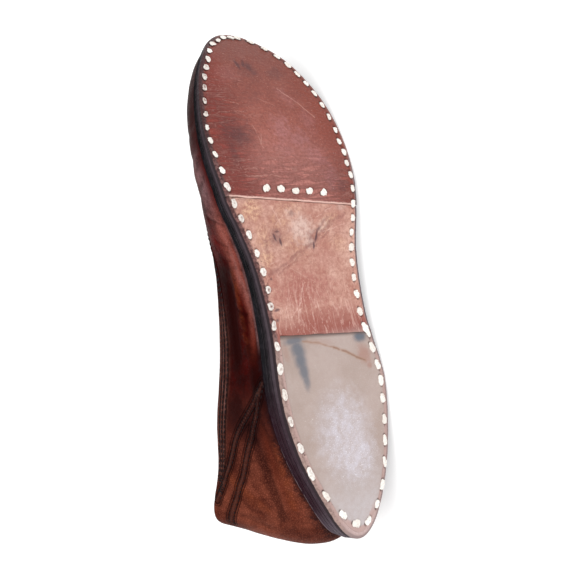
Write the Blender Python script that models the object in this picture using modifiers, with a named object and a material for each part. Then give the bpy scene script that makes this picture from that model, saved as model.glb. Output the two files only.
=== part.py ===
"""A khussa: a flat slip-on of one soft leather upper, sewn to a stacked leather sole.

It is a left shoe, empty, with a turned-up toe, and it lies on its outer side. Each piece is shaped
in the shoe's own frame: +X to the inner side of the foot, +Y to the toe, +Z from the tread up, and
the origin under the heel end. One empty then lays the whole shoe down, with the edge of the sole
and the collar on the ground at z = 0.
"""

import math
from collections import namedtuple

import bmesh
import bpy
from mathutils import Euler, Matrix, Vector

MM = 0.001

# Driving dimensions.
LENGTH = 270.0 * MM          # outsole, from the heel end to the toe tip
BALL_WIDTH = 89.0 * MM       # outsole, across the ball
INSTEP_HEIGHT = 37.0 * MM    # vamp above the seat, where the throat opens
HEEL_HEIGHT = 58.0 * MM      # collar above the seat, at the back
WALL = 2.0 * MM              # upper: leather and lining
GAP = 0.3 * MM               # between pieces that are sewn or glued together

# The sole's edge, from the tread up.
FOREPART_PROUD = 0.6 * MM    # the forepart leather laps this far over the waist leather
MIDSOLE_INSET = 0.4 * MM
RAND_INSET = 0.9 * MM
RAND_BREADTH = 4.2 * MM
UPPER_INSET = 2.0 * MM
UPPER_LIFT = 0.5 * MM        # above the rand; the inner edge of a leaning wall is a little lower
INSOLE_EASE = 1.0 * MM       # between the insole and the leaning wall around it
INSOLE_THICKNESS = 2.0 * MM

# The heel patch lies in a recess of the waist leather.
PATCH_INSET = 3.2 * MM
PATCH_THICKNESS = 1.8 * MM
PATCH_SUNK = 0.3 * MM

# Joins across the sole, as stations from heel end (0) to toe tip (1).
Join = namedtuple("Join", "inner outer")
HEEL_END = Join(inner=0.0, outer=0.0)
PATCH_FRONT = Join(inner=0.388, outer=0.366)
FOREPART_JOIN = Join(inner=0.640, outer=0.612)
TOE_TIP = Join(inner=1.0, outer=1.0)

# Sections of the sole. fullness: half width over that of an ellipse as wide as the ball.
# centre: the middle line's shift to the inner side. spring: tread above the flat, where less than
# nothing is flat. stack: edge thickness. The last three are in millimetres.
SoleRow = namedtuple("SoleRow", "station fullness centre spring stack")
SOLE = [
    SoleRow(0.00, 0.800, -0.5, 3.0, 15.5),
    SoleRow(0.06, 0.812, -0.3, 1.0, 15.5),
    SoleRow(0.15, 0.867, 0.0, -0.2, 15.5),
    SoleRow(0.26, 0.865, -0.5, -0.2, 15.5),
    SoleRow(0.40, 0.718, -1.9, 3.2, 14.5),
    SoleRow(0.52, 0.755, -0.7, 2.3, 12.0),
    SoleRow(0.64, 0.980, 2.0, -0.4, 11.0),
    SoleRow(0.75, 1.146, 1.2, 4.8, 9.5),
    SoleRow(0.87, 1.236, 0.0, 13.9, 7.4),
    SoleRow(0.94, 1.225, -0.2, 21.2, 6.5),
    SoleRow(1.00, 1.206, -0.5, 32.0, 6.0),
]

# Sections of the upper. crown: height of the last's arch over INSTEP_HEIGHT. topline: height of
# the collar over HEEL_HEIGHT, or more than the crown where the vamp is closed. flare: widening
# towards the top. The rest is in millimetres: swell, how far the wall bulges over the sole's
# edge; lean and forward, how far the soft quarter slouches inwards and forwards at HEEL_HEIGHT.
UpperRow = namedtuple("UpperRow", "station crown topline flare swell lean forward")
UPPER = [
    UpperRow(0.00, 3.03, 1.00, 0.95, 7.0, 21.0, 6.0),
    UpperRow(0.06, 2.97, 0.98, 0.95, 4.0, 21.5, 0.0),
    UpperRow(0.15, 2.84, 0.88, 0.40, 1.5, 10.5, 2.0),
    UpperRow(0.26, 2.65, 0.78, 0.14, 0.5, 4.0, 0.5),
    UpperRow(0.40, 2.05, 0.69, 0.08, 0.0, 0.0, 0.0),
    UpperRow(0.52, 1.42, 0.66, 0.00, 0.0, 0.0, 0.0),
    UpperRow(0.60, 1.17, 0.64, 0.00, 0.0, 0.0, 0.0),
    UpperRow(0.66, 1.00, 0.64, 0.00, 0.0, 0.0, 0.0),
    UpperRow(0.75, 0.83, 0.70, 0.00, 0.0, 0.0, 0.0),
    UpperRow(0.87, 0.71, 0.70, 0.00, 0.0, 0.0, 0.0),
    UpperRow(0.94, 0.54, 0.70, 0.00, 0.0, 0.0, 0.0),
    UpperRow(0.98, 0.32, 0.70, 0.00, 0.0, 0.0, 0.0),
    UpperRow(1.00, 0.10, 0.70, 0.00, 0.0, 0.0, 0.0),
]
ARCH_POWER = 0.87            # 1 is an ellipse, less is a squarer arch
SWELL_POWER = 0.6            # less than 1 puts the bulge low on the wall
UPRIGHT = 0.15               # the wall stands upright at the sole, then leans over

# How the shoe lies: first on its outer side, toe to +X and collar to +Y, then settled by a small
# roll and pitch until the sole's edge at heel and ball and the slack quarter carry it together.
ON_ITS_SIDE = Matrix(((0, 1, 0), (0, 0, 1), (1, 0, 0)))
SETTLE_ROLL = math.radians(-5.835)
SETTLE_PITCH = math.radians(-3.771)
SETTLE_PLACE = Vector((-133.001, -37.289, 30.307)) * MM

# Fineness of the solids.
SOLE_ROWS = 40
SOLE_COLUMNS = 4
UPPER_ROWS = 52
UPPER_COLUMNS = 9


# ---------------------------------------------------------------- the last, from the tables

def smooth(table, column, station):
    """Read a column at a station, on a smooth curve through the table's rows."""
    station = min(max(station, table[0].station), table[-1].station)
    last = len(table) - 1
    index = max(i for i in range(last) if table[i].station <= station)

    def value(i):
        return getattr(table[i], column)

    def secant(i):
        return (value(i + 1) - value(i)) / (table[i + 1].station - table[i].station)

    def slope(i):
        if i == 0:
            return secant(0)
        if i == last:
            return secant(last - 1)
        before = table[i].station - table[i - 1].station
        after = table[i + 1].station - table[i].station
        return (secant(i - 1) * after + secant(i) * before) / (before + after)

    span = table[index + 1].station - table[index].station
    u = (station - table[index].station) / span
    return ((2 * u ** 3 - 3 * u ** 2 + 1) * value(index)
            + (u ** 3 - 2 * u ** 2 + u) * span * slope(index)
            + (3 * u ** 2 - 2 * u ** 3) * value(index + 1)
            + (u ** 3 - u ** 2) * span * slope(index + 1))


def station_at(turn):
    """Station at a turn of 0 to 1, close together at the two ends, where the outline is round."""
    return (1 - math.cos(math.pi * turn)) / 2


def turn_at(station):
    return math.acos(1 - 2 * station) / math.pi


def half_width(station):
    ellipse = 2 * math.sqrt(max(station * (1 - station), 0.0))
    return BALL_WIDTH / 2 * ellipse * smooth(SOLE, "fullness", station)


def centre(station):
    return smooth(SOLE, "centre", station) * MM


def tread(y):
    """Height of the tread above the flat it would stand on; heel and ball are flat."""
    return max(smooth(SOLE, "spring", y / LENGTH), 0.0) * MM


def stack(y):
    return smooth(SOLE, "stack", y / LENGTH) * MM


def tread_top(y):
    return 1.0 * MM + 0.2 * stack(y)


def rand_height(y):
    return 1.2 * MM + 0.12 * stack(y)


def outline(turn, side):
    """The sole's edge at a turn; side is +1 for the inner edge and -1 for the outer one."""
    station = station_at(turn)
    return Vector((centre(station) + side * half_width(station), LENGTH * station))


def inset_outline(turn, side, inset):
    """The sole's edge, moved inwards along its normal."""
    step = 0.002
    if turn < step:
        normal = Vector((0, -1))
    elif turn > 1 - step:
        normal = Vector((0, 1))
    else:
        along = outline(turn + step, side) - outline(turn - step, side)
        normal = side * Vector((along.y, -along.x)).normalized()
    return outline(turn, side) - inset * normal


# ---------------------------------------------------------------- building tools

def new_object(name, mesh, collection):
    piece = bpy.data.objects.new(name, mesh)
    collection.objects.link(piece)
    return piece


def mesh_of(name, points, faces):
    """A mesh from lofted sections, with the points that meet at a tip joined."""
    mesh = bpy.data.meshes.new(name)
    mesh.from_pydata(points, [], faces)
    work = bmesh.new()
    work.from_mesh(mesh)
    bmesh.ops.remove_doubles(work, verts=work.verts, dist=0.00001)
    bmesh.ops.dissolve_degenerate(work, edges=work.edges, dist=0.00001)
    bmesh.ops.recalc_face_normals(work, faces=work.faces)
    work.to_mesh(mesh)
    work.free()
    return mesh


def leather(name, colour, roughness):
    material = bpy.data.materials.new(name)
    material.use_nodes = True
    shader = material.node_tree.nodes["Principled BSDF"]
    shader.inputs["Base Color"].default_value = (*colour, 1.0)
    shader.inputs["Roughness"].default_value = roughness
    shader.inputs["Metallic"].default_value = 0.0
    material.diffuse_color = (*colour, 1.0)
    return material


def layer(name, bands, start, end, collection):
    """A layer of the sole between two joins, lofted across the shoe.

    bands: (inset, height) pairs from the bottom edge up, where height is a function of y that
    gives the distance above the tread.
    """
    columns = SOLE_COLUMNS + 1
    points = []
    for row in range(SOLE_ROWS + 1):
        part = row / SOLE_ROWS
        turns = []
        for low, high in ((start.inner, end.inner), (start.outer, end.outer)):
            turns.append(turn_at(low) + part * (turn_at(high) - turn_at(low)))
        for inset, height in bands:
            inner = inset_outline(turns[0], 1, inset)
            outer = inset_outline(turns[1], -1, inset)
            for column in range(columns):
                x, y = outer.lerp(inner, column / SOLE_COLUMNS)
                points.append((x, y, tread(y) + height(y)))

    def at(row, band, column):
        return (row * len(bands) + band) * columns + column

    faces = []
    top = len(bands) - 1
    for row in range(SOLE_ROWS):
        for column in range(SOLE_COLUMNS):
            for band in (0, top):
                faces.append((at(row, band, column), at(row, band, column + 1),
                              at(row + 1, band, column + 1), at(row + 1, band, column)))
        for band in range(top):
            for column in (0, SOLE_COLUMNS):
                faces.append((at(row, band, column), at(row, band + 1, column),
                              at(row + 1, band + 1, column), at(row + 1, band, column)))
    for row in (0, SOLE_ROWS):
        for band in range(top):
            for column in range(SOLE_COLUMNS):
                faces.append((at(row, band, column), at(row, band, column + 1),
                              at(row, band + 1, column + 1), at(row, band + 1, column)))
    return new_object(name, mesh_of(name, points, faces), collection)


# ---------------------------------------------------------------- the pieces

def make_outsole_forepart(collection):
    bands = [(0.0, lambda y: 0.0), (0.0, tread_top)]
    return layer("outsole_forepart", bands, FOREPART_JOIN, TOE_TIP, collection)


def make_outsole_waist(collection, cutters):
    """One leather from the forepart's join to the heel end, with the patch's recess."""
    bands = [(0.0, lambda y: FOREPART_PROUD), (0.0, tread_top)]
    front = Join(FOREPART_JOIN.inner - GAP / LENGTH, FOREPART_JOIN.outer - GAP / LENGTH)
    waist = layer("outsole_waist", bands, HEEL_END, front, collection)
    recess_bands = [
        (PATCH_INSET - GAP, lambda y: -FOREPART_PROUD),
        (PATCH_INSET - GAP, lambda y: FOREPART_PROUD + PATCH_SUNK + PATCH_THICKNESS + GAP),
    ]
    recess = layer("patch_recess", recess_bands, HEEL_END, PATCH_FRONT, cutters)
    recess.hide_render = True
    recess.display_type = "WIRE"
    cut = waist.modifiers.new("patch recess", "BOOLEAN")
    cut.operation = "DIFFERENCE"
    cut.object = recess
    return waist


def make_heel_patch(collection):
    sunk = FOREPART_PROUD + PATCH_SUNK
    bands = [(PATCH_INSET, lambda y: sunk), (PATCH_INSET, lambda y: sunk + PATCH_THICKNESS)]
    front = Join(PATCH_FRONT.inner - GAP / LENGTH, PATCH_FRONT.outer - GAP / LENGTH)
    return layer("heel_patch", bands, HEEL_END, front, collection)


def make_midsole(collection):
    """The black-edged stack, with a raised bed that fills the ring of the rand."""
    bed_inset = RAND_INSET + RAND_BREADTH + GAP
    bands = [
        (MIDSOLE_INSET, lambda y: tread_top(y) + GAP),
        (MIDSOLE_INSET, lambda y: stack(y) - rand_height(y) - GAP),
        (bed_inset, lambda y: stack(y) - rand_height(y) - GAP),
        (bed_inset, stack),
    ]
    return layer("midsole", bands, HEEL_END, TOE_TIP, collection)


def make_rand(collection):
    """A black strip all round, between the midsole and the upper."""
    turns = [(row / SOLE_ROWS, 1) for row in range(SOLE_ROWS + 1)]
    turns += [(row / SOLE_ROWS, -1) for row in range(SOLE_ROWS - 1, 0, -1)]
    points = []
    for turn, side in turns:
        for inset, is_top in ((RAND_INSET, False), (RAND_INSET, True),
                              (RAND_INSET + RAND_BREADTH, True),
                              (RAND_INSET + RAND_BREADTH, False)):
            x, y = inset_outline(turn, side, inset)
            height = stack(y) if is_top else stack(y) - rand_height(y)
            points.append((x, y, tread(y) + height))
    faces = []
    for section in range(len(turns)):
        after = (section + 1) % len(turns)
        for corner in range(4):
            beside = (corner + 1) % 4
            faces.append((section * 4 + corner, section * 4 + beside,
                          after * 4 + beside, after * 4 + corner))
    return new_object("rand", mesh_of("rand", points, faces), collection)


def upper_point(turn, side, part):
    """The upper's outer surface: part runs from 0 at the sole to 1 at the collar or the crown."""
    station = station_at(turn)
    crown = smooth(UPPER, "crown", station) * INSTEP_HEIGHT
    topline = smooth(UPPER, "topline", station) * HEEL_HEIGHT
    full = math.asin(min(1.0, (topline / crown) ** (1 / ARCH_POWER)))
    angle = part * full
    rise = crown * math.sin(angle) ** ARCH_POWER
    width = math.cos(angle) ** ARCH_POWER if angle < math.pi / 2 else 0.0
    width *= 1 + smooth(UPPER, "flare", station) * math.sin(angle) ** 2
    reach = rise / HEEL_HEIGHT
    low_bulge = math.sin(math.pi * min(reach, 1.0) ** SWELL_POWER)
    swell = smooth(UPPER, "swell", station) * MM * low_bulge
    foot = inset_outline(turn, side, UPPER_INSET - swell)
    seat = inset_outline(turn, side, UPPER_INSET).y
    middle = centre(station)
    slouch = (1 + UPRIGHT) * reach ** 2 / (reach + UPRIGHT)
    x = middle + (foot.x - middle) * width + smooth(UPPER, "lean", station) * MM * slouch
    y = foot.y + smooth(UPPER, "forward", station) * MM * slouch
    return Vector((x, y, tread(seat) + stack(seat) + UPPER_LIFT + rise))


def is_open(turn):
    """Whether the upper is cut away over the middle at this turn."""
    station = station_at(turn)
    crown = smooth(UPPER, "crown", station) * INSTEP_HEIGHT
    return smooth(UPPER, "topline", station) * HEEL_HEIGHT < crown


def throat_turn():
    """The turn where the collar's front meets the middle line."""
    low, high = turn_at(UPPER[4].station), turn_at(UPPER[8].station)
    for _ in range(40):
        middle = (low + high) / 2
        if is_open(middle):
            low = middle
        else:
            high = middle
    return high


def make_upper(collection):
    """One wall of leather over the last, open at the collar and underneath."""
    throat = throat_turn()
    quarter_rows = UPPER_ROWS * 2 // 3
    vamp_rows = UPPER_ROWS - quarter_rows
    turns = []
    for row in range(quarter_rows):
        # close together at the throat too, where the collar turns across the foot
        turns.append(throat * math.sin(math.pi / 2 * row / quarter_rows))
    for row in range(vamp_rows + 1):
        turns.append(throat + (1 - throat) * row / vamp_rows)
    points = []
    for turn in turns:
        for side in (1, -1):
            for column in range(UPPER_COLUMNS + 1):
                points.append(upper_point(turn, side, column / UPPER_COLUMNS))

    def at(row, side, column):
        return (row * 2 + side) * (UPPER_COLUMNS + 1) + column

    faces = []
    for row in range(len(turns) - 1):
        for side in (0, 1):
            for column in range(UPPER_COLUMNS):
                faces.append((at(row, side, column), at(row, side, column + 1),
                              at(row + 1, side, column + 1), at(row + 1, side, column)))
    upper = new_object("upper", mesh_of("upper", points, faces), collection)
    wall = upper.modifiers.new("leather and lining", "SOLIDIFY")
    wall.thickness = WALL
    wall.offset = -1
    wall.use_even_offset = True
    return upper


def make_insole(collection):
    inset = UPPER_INSET + WALL + INSOLE_EASE
    bands = [
        (inset, lambda y: stack(y) + GAP),
        (inset, lambda y: stack(y) + GAP + INSOLE_THICKNESS),
    ]
    return layer("insole", bands, HEEL_END, TOE_TIP, collection)


# ---------------------------------------------------------------- the shoe

def clear_scene():
    for item in list(bpy.data.objects):
        bpy.data.objects.remove(item, do_unlink=True)


def new_collection(name):
    collection = bpy.data.collections.new(name)
    bpy.context.scene.collection.children.link(collection)
    return collection


def main():
    clear_scene()
    shoe = new_collection("khussa")
    cutters = new_collection("cutters")
    red_brown = leather("upper leather", (0.16, 0.04, 0.025), 0.4)
    tread_brown = leather("forepart leather", (0.30, 0.10, 0.08), 0.6)
    tan = leather("waist leather", (0.52, 0.28, 0.22), 0.75)
    taupe = leather("patch leather", (0.55, 0.46, 0.42), 0.5)
    black = leather("dyed edge", (0.040, 0.028, 0.036), 0.5)
    lining = leather("insole leather", (0.38, 0.22, 0.12), 0.7)
    pieces = [
        (make_outsole_forepart(shoe), tread_brown),
        (make_outsole_waist(shoe, cutters), tan),
        (make_heel_patch(shoe), taupe),
        (make_midsole(shoe), black),
        (make_rand(shoe), black),
        (make_upper(shoe), red_brown),
        (make_insole(shoe), lining),
    ]
    rest = bpy.data.objects.new("resting pose", None)
    shoe.objects.link(rest)
    settle = Euler((SETTLE_ROLL, SETTLE_PITCH, 0.0)).to_matrix()
    rest.matrix_world = Matrix.Translation(SETTLE_PLACE) @ (settle @ ON_ITS_SIDE).to_4x4()
    for piece, material in pieces:
        piece.data.materials.append(material)
        piece.parent = rest
    for cutter in cutters.objects:
        cutter.parent = rest
    bpy.context.view_layer.update()


main()
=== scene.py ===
# %% [markdown]
# # A khussa that lies on its side
#
# A khussa is a flat slip-on shoe, sewn by hand: one soft leather upper on a stacked leather sole.
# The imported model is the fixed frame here. It has the shoe's true shape, but its solids are plain.
# This script puts a finished piece on each of them, and adds what a plain solid can't hold: the
# thread, the awl holes, the creases, the dye and the wear.

import functools
import math
import random
from collections import namedtuple

import bpy
from mathutils import Euler, Matrix, Vector, noise
from mathutils.bvhtree import BVHTree
from mathutils.kdtree import KDTree


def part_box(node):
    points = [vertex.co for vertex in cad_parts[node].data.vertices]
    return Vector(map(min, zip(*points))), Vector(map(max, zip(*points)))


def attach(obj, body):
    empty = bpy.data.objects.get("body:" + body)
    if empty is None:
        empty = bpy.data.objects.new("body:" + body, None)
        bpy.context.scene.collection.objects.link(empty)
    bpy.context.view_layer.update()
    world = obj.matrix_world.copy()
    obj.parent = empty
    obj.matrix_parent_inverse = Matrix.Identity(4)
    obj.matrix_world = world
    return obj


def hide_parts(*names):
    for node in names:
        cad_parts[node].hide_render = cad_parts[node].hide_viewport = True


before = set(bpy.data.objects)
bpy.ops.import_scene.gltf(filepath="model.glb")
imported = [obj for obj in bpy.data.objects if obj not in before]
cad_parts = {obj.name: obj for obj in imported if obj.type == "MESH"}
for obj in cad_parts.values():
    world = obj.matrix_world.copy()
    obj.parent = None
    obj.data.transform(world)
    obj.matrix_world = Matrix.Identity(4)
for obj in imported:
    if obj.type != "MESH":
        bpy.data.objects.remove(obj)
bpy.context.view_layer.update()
MM = 0.001
print("the frame's nodes:", ", ".join(sorted(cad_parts)))

# %% [markdown]
# ## The last, in the shoe's own frame
#
# A shoemaker measures along the shoe, so each piece is worked out in the shoe's own frame: +X to
# the inner side of the foot, +Y to the toe, +Z from the tread up, and the origin under the heel
# end. These tables and sizes are the ones that the solids were made from. A station runs from 0 at
# the heel end to 1 at the toe tip.

# %% Driving sizes and the two tables
LENGTH = 270.0 * MM
BALL_WIDTH = 89.0 * MM
INSTEP_HEIGHT = 37.0 * MM
HEEL_HEIGHT = 58.0 * MM
WALL = 2.0 * MM
GAP = 0.3 * MM
FOREPART_PROUD = 0.6 * MM
MIDSOLE_INSET = 0.4 * MM
RAND_INSET = 0.9 * MM
RAND_BREADTH = 4.2 * MM
UPPER_INSET = 2.0 * MM
UPPER_LIFT = 0.5 * MM
INSOLE_EASE = 1.0 * MM
INSOLE_THICKNESS = 2.0 * MM
PATCH_INSET = 3.2 * MM
PATCH_THICKNESS = 1.8 * MM
PATCH_SUNK = 0.3 * MM

Join = namedtuple("Join", "inner outer")
HEEL_END = Join(inner=0.0, outer=0.0)
PATCH_FRONT = Join(inner=0.388, outer=0.366)
FOREPART_JOIN = Join(inner=0.640, outer=0.612)
TOE_TIP = Join(inner=1.0, outer=1.0)


def table(columns, *rows):
    """Rows of numbers under named columns."""
    row = namedtuple("Row", columns)
    return tuple(row(*numbers) for numbers in rows)


SOLE = table(
    "station fullness centre spring stack",
    (0.00, 0.800, -0.5, 3.0, 15.5),
    (0.06, 0.812, -0.3, 1.0, 15.5),
    (0.15, 0.867, 0.0, -0.2, 15.5),
    (0.26, 0.865, -0.5, -0.2, 15.5),
    (0.40, 0.718, -1.9, 3.2, 14.5),
    (0.52, 0.755, -0.7, 2.3, 12.0),
    (0.64, 0.980, 2.0, -0.4, 11.0),
    (0.75, 1.146, 1.2, 4.8, 9.5),
    (0.87, 1.236, 0.0, 13.9, 7.4),
    (0.94, 1.225, -0.2, 21.2, 6.5),
    (1.00, 1.206, -0.5, 32.0, 6.0),
)
UPPER = table(
    "station crown topline flare swell lean forward",
    (0.00, 3.03, 1.00, 0.95, 7.0, 21.0, 6.0),
    (0.06, 2.97, 0.98, 0.95, 4.0, 21.5, 0.0),
    (0.15, 2.84, 0.88, 0.40, 1.5, 10.5, 2.0),
    (0.26, 2.65, 0.78, 0.14, 0.5, 4.0, 0.5),
    (0.40, 2.05, 0.69, 0.08, 0.0, 0.0, 0.0),
    (0.52, 1.42, 0.66, 0.00, 0.0, 0.0, 0.0),
    (0.60, 1.17, 0.64, 0.00, 0.0, 0.0, 0.0),
    (0.66, 1.00, 0.64, 0.00, 0.0, 0.0, 0.0),
    (0.75, 0.83, 0.70, 0.00, 0.0, 0.0, 0.0),
    (0.87, 0.71, 0.70, 0.00, 0.0, 0.0, 0.0),
    (0.94, 0.54, 0.70, 0.00, 0.0, 0.0, 0.0),
    (0.98, 0.32, 0.70, 0.00, 0.0, 0.0, 0.0),
    (1.00, 0.10, 0.70, 0.00, 0.0, 0.0, 0.0),
)
ARCH_POWER = 0.87
SWELL_POWER = 0.6
UPRIGHT = 0.15
print("sections:", len(SOLE), "of the sole and", len(UPPER), "of the upper")


# %% Read the tables on a smooth curve
@functools.lru_cache(maxsize=None)
def smooth(table, column, station):
    """Read a column at a station, on a smooth curve through the table's rows."""
    station = min(max(station, table[0].station), table[-1].station)
    last = len(table) - 1
    index = max(i for i in range(last) if table[i].station <= station)

    def value(i):
        return getattr(table[i], column)

    def secant(i):
        return (value(i + 1) - value(i)) / (table[i + 1].station - table[i].station)

    def slope(i):
        if i == 0:
            return secant(0)
        if i == last:
            return secant(last - 1)
        before = table[i].station - table[i - 1].station
        after = table[i + 1].station - table[i].station
        return (secant(i - 1) * after + secant(i) * before) / (before + after)

    span = table[index + 1].station - table[index].station
    u = (station - table[index].station) / span
    return ((2 * u ** 3 - 3 * u ** 2 + 1) * value(index)
            + (u ** 3 - 2 * u ** 2 + u) * span * slope(index)
            + (3 * u ** 2 - 2 * u ** 3) * value(index + 1)
            + (u ** 3 - u ** 2) * span * slope(index + 1))


# %% The sole's outline and heights
def station_at(turn):
    return (1 - math.cos(math.pi * turn)) / 2


def turn_at(station):
    return math.acos(1 - 2 * station) / math.pi


def centre(station):
    return smooth(SOLE, "centre", station) * MM


def tread(y):
    return max(smooth(SOLE, "spring", y / LENGTH), 0.0) * MM


def stack(y):
    return smooth(SOLE, "stack", y / LENGTH) * MM


def tread_top(y):
    return 1.0 * MM + 0.2 * stack(y)


def rand_height(y):
    return 1.2 * MM + 0.12 * stack(y)


@functools.lru_cache(maxsize=None)
def outline(turn, side):
    """The sole's edge at a turn; side is +1 for the inner edge and -1 for the outer one."""
    station = station_at(turn)
    ellipse = 2 * math.sqrt(max(station * (1 - station), 0.0))
    half = BALL_WIDTH / 2 * ellipse * smooth(SOLE, "fullness", station)
    return Vector((centre(station) + side * half, LENGTH * station))


@functools.lru_cache(maxsize=None)
def outward(turn, side):
    """The edge's normal, away from the sole."""
    step = 0.002
    if turn < step:
        return Vector((0, -1))
    if turn > 1 - step:
        return Vector((0, 1))
    along = outline(turn + step, side) - outline(turn - step, side)
    return side * Vector((along.y, -along.x)).normalized()


def inset_outline(turn, side, inset):
    return outline(turn, side) - inset * outward(turn, side)


print("ball half width in mm:", round(outline(turn_at(0.72), 1).x / MM, 1))


# %% The upper's surface
def arch(station):
    """The heights of the crown and the collar over the seat."""
    return (smooth(UPPER, "crown", station) * INSTEP_HEIGHT,
            smooth(UPPER, "topline", station) * HEEL_HEIGHT)


def arch_angle(height, crown):
    return math.asin(min(1.0, (height / crown) ** (1 / ARCH_POWER)))


def upper_point(turn, side, part):
    """The upper's outer surface: part runs from 0 at the sole to 1 at the collar or the crown."""
    station = station_at(turn)
    crown, topline = arch(station)
    angle = part * arch_angle(topline, crown)
    rise = crown * math.sin(angle) ** ARCH_POWER
    width = math.cos(angle) ** ARCH_POWER if angle < math.pi / 2 else 0.0
    width *= 1 + smooth(UPPER, "flare", station) * math.sin(angle) ** 2
    reach = rise / HEEL_HEIGHT
    low_bulge = math.sin(math.pi * min(reach, 1.0) ** SWELL_POWER)
    swell = smooth(UPPER, "swell", station) * MM * low_bulge
    foot = inset_outline(turn, side, UPPER_INSET - swell)
    seat = inset_outline(turn, side, UPPER_INSET).y
    middle = centre(station)
    slouch = (1 + UPRIGHT) * reach ** 2 / (reach + UPRIGHT)
    x = middle + (foot.x - middle) * width + smooth(UPPER, "lean", station) * MM * slouch
    y = foot.y + smooth(UPPER, "forward", station) * MM * slouch
    return Vector((x, y, tread(seat) + stack(seat) + UPPER_LIFT + rise))


print("collar over the seat at the heel in mm:", round(arch(0.0)[1] / MM, 1))

# %% [markdown]
# ## How the shoe lies
#
# Empty and slack, it lies on its outer side. The same turn that lays the solids down lays every
# new piece down, so a point is worked out in the shoe's frame and then goes through POSE.

# %% The resting pose
ON_ITS_SIDE = Matrix(((0, 1, 0), (0, 0, 1), (1, 0, 0)))
SETTLE_ROLL = math.radians(-5.835)
SETTLE_PITCH = math.radians(-3.771)
SETTLE_PLACE = Vector((-133.001, -37.289, 30.307)) * MM
settle = Euler((SETTLE_ROLL, SETTLE_PITCH, 0.0)).to_matrix()
POSE = Matrix.Translation(SETTLE_PLACE) @ (settle @ ON_ITS_SIDE).to_4x4()
UNPOSE = POSE.inverted()
TO_WORLD = POSE.to_3x3()
toe_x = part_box("outsole_forepart")[1].x
toe_tip = POSE @ Vector((outline(1.0, 1).x, LENGTH, tread(LENGTH)))
print("toe tip against the frame's, in mm:", round((toe_tip.x - toe_x) / MM, 2))

# %% [markdown]
# ## A sheet of leather
#
# Every leather here starts as Blender's grid primitive, the way leather starts as a flat sheet, and
# each of its points is then laid on the last. A sheet keeps its point's place in the shoe's frame,
# in millimetres, as the attribute "shoe". The materials read it, so grain and stains lie on the
# leather like the real ones, at their real size.


# %% Tools for sheets
def deselect():
    bpy.ops.object.select_all(action="DESELECT")


def make_active(piece):
    deselect()
    piece.select_set(True)
    bpy.context.view_layer.objects.active = piece


def sheet(name, across, along, place):
    """A grid primitive whose points go where place(u, v) says, in the shoe's frame."""
    deselect()
    bpy.ops.mesh.primitive_grid_add(x_subdivisions=across, y_subdivisions=along, size=1)
    piece = bpy.context.object
    piece.name = name
    piece.data.name = name
    for vertex in piece.data.vertices:
        u = min(max(vertex.co.x + 0.5, 0.0), 1.0)
        v = min(max(vertex.co.y + 0.5, 0.0), 1.0)
        vertex.co = POSE @ place(round(u, 6), round(v, 6))
    return piece


def in_edit_mode(piece, *steps):
    """Run mesh operators on all of a piece, as by hand."""
    make_active(piece)
    bpy.ops.object.mode_set(mode="EDIT")
    bpy.ops.mesh.select_all(action="SELECT")
    for step in steps:
        step()
    bpy.ops.object.mode_set(mode="OBJECT")


def apply_modifier(piece, kind, **settings):
    make_active(piece)
    modifier = piece.modifiers.new(kind.title(), kind)
    for key, value in settings.items():
        setattr(modifier, key, value)
    bpy.ops.object.modifier_apply(modifier=modifier.name)


def face_outwards(piece):
    in_edit_mode(piece, lambda: bpy.ops.mesh.normals_make_consistent(inside=False))


def weld(piece, distance=0.00002):
    in_edit_mode(piece, lambda: bpy.ops.mesh.remove_doubles(threshold=distance))


def thicken(piece, height):
    """Extrude the whole sheet and put the new side at height(y) over the tread."""
    in_edit_mode(piece, lambda: bpy.ops.mesh.extrude_region_move())
    for vertex, p in zip(piece.data.vertices, shoe_points(piece)):
        if vertex.select:
            vertex.co = POSE @ Vector((p.x, p.y, tread(p.y) + height(p.y)))
    weld(piece)
    face_outwards(piece)


def shade_smooth(piece, degrees=40):
    make_active(piece)
    bpy.ops.object.shade_smooth_by_angle(angle=math.radians(degrees))


def store(piece, name, values):
    layer = piece.data.attributes.new(name, "FLOAT", "POINT")
    layer.data.foreach_set("value", values)


def shoe_points(piece):
    return [UNPOSE @ vertex.co for vertex in piece.data.vertices]


def store_shoe_place(piece):
    layer = piece.data.attributes.new("shoe", "FLOAT_VECTOR", "POINT")
    layer.data.foreach_set("vector", [x for point in shoe_points(piece) for x in point / MM])


# %% Notes that a piece carries, and its place on the frame
def tree_of(points):
    tree = KDTree(len(points))
    for index, point in enumerate(points):
        tree.insert(point, index)
    tree.balance()
    return tree


def finish_piece(piece, slot, material, *nodes):
    """Put the piece on the frame: it rides with it, and stands for the nodes."""
    if piece.data.materials:
        piece.data.materials[0] = material
    else:
        piece.data.materials.append(material)
    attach(piece, "root")
    if nodes:
        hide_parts(*nodes)
    triangles = sum(len(face.vertices) - 2 for face in piece.data.polygons)
    print(piece.name, "has", triangles, "triangles")

# %% [markdown]
# ## Where the sole's stitches go
#
# The sole is sewn on with one thick pale thread, right through the stack. Its stitches run round
# the edge, closer together at the toe than at the heel, and a row of five crosses the forepart just
# in front of the join. Their places come first, because the leather dips round each awl hole.

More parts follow.
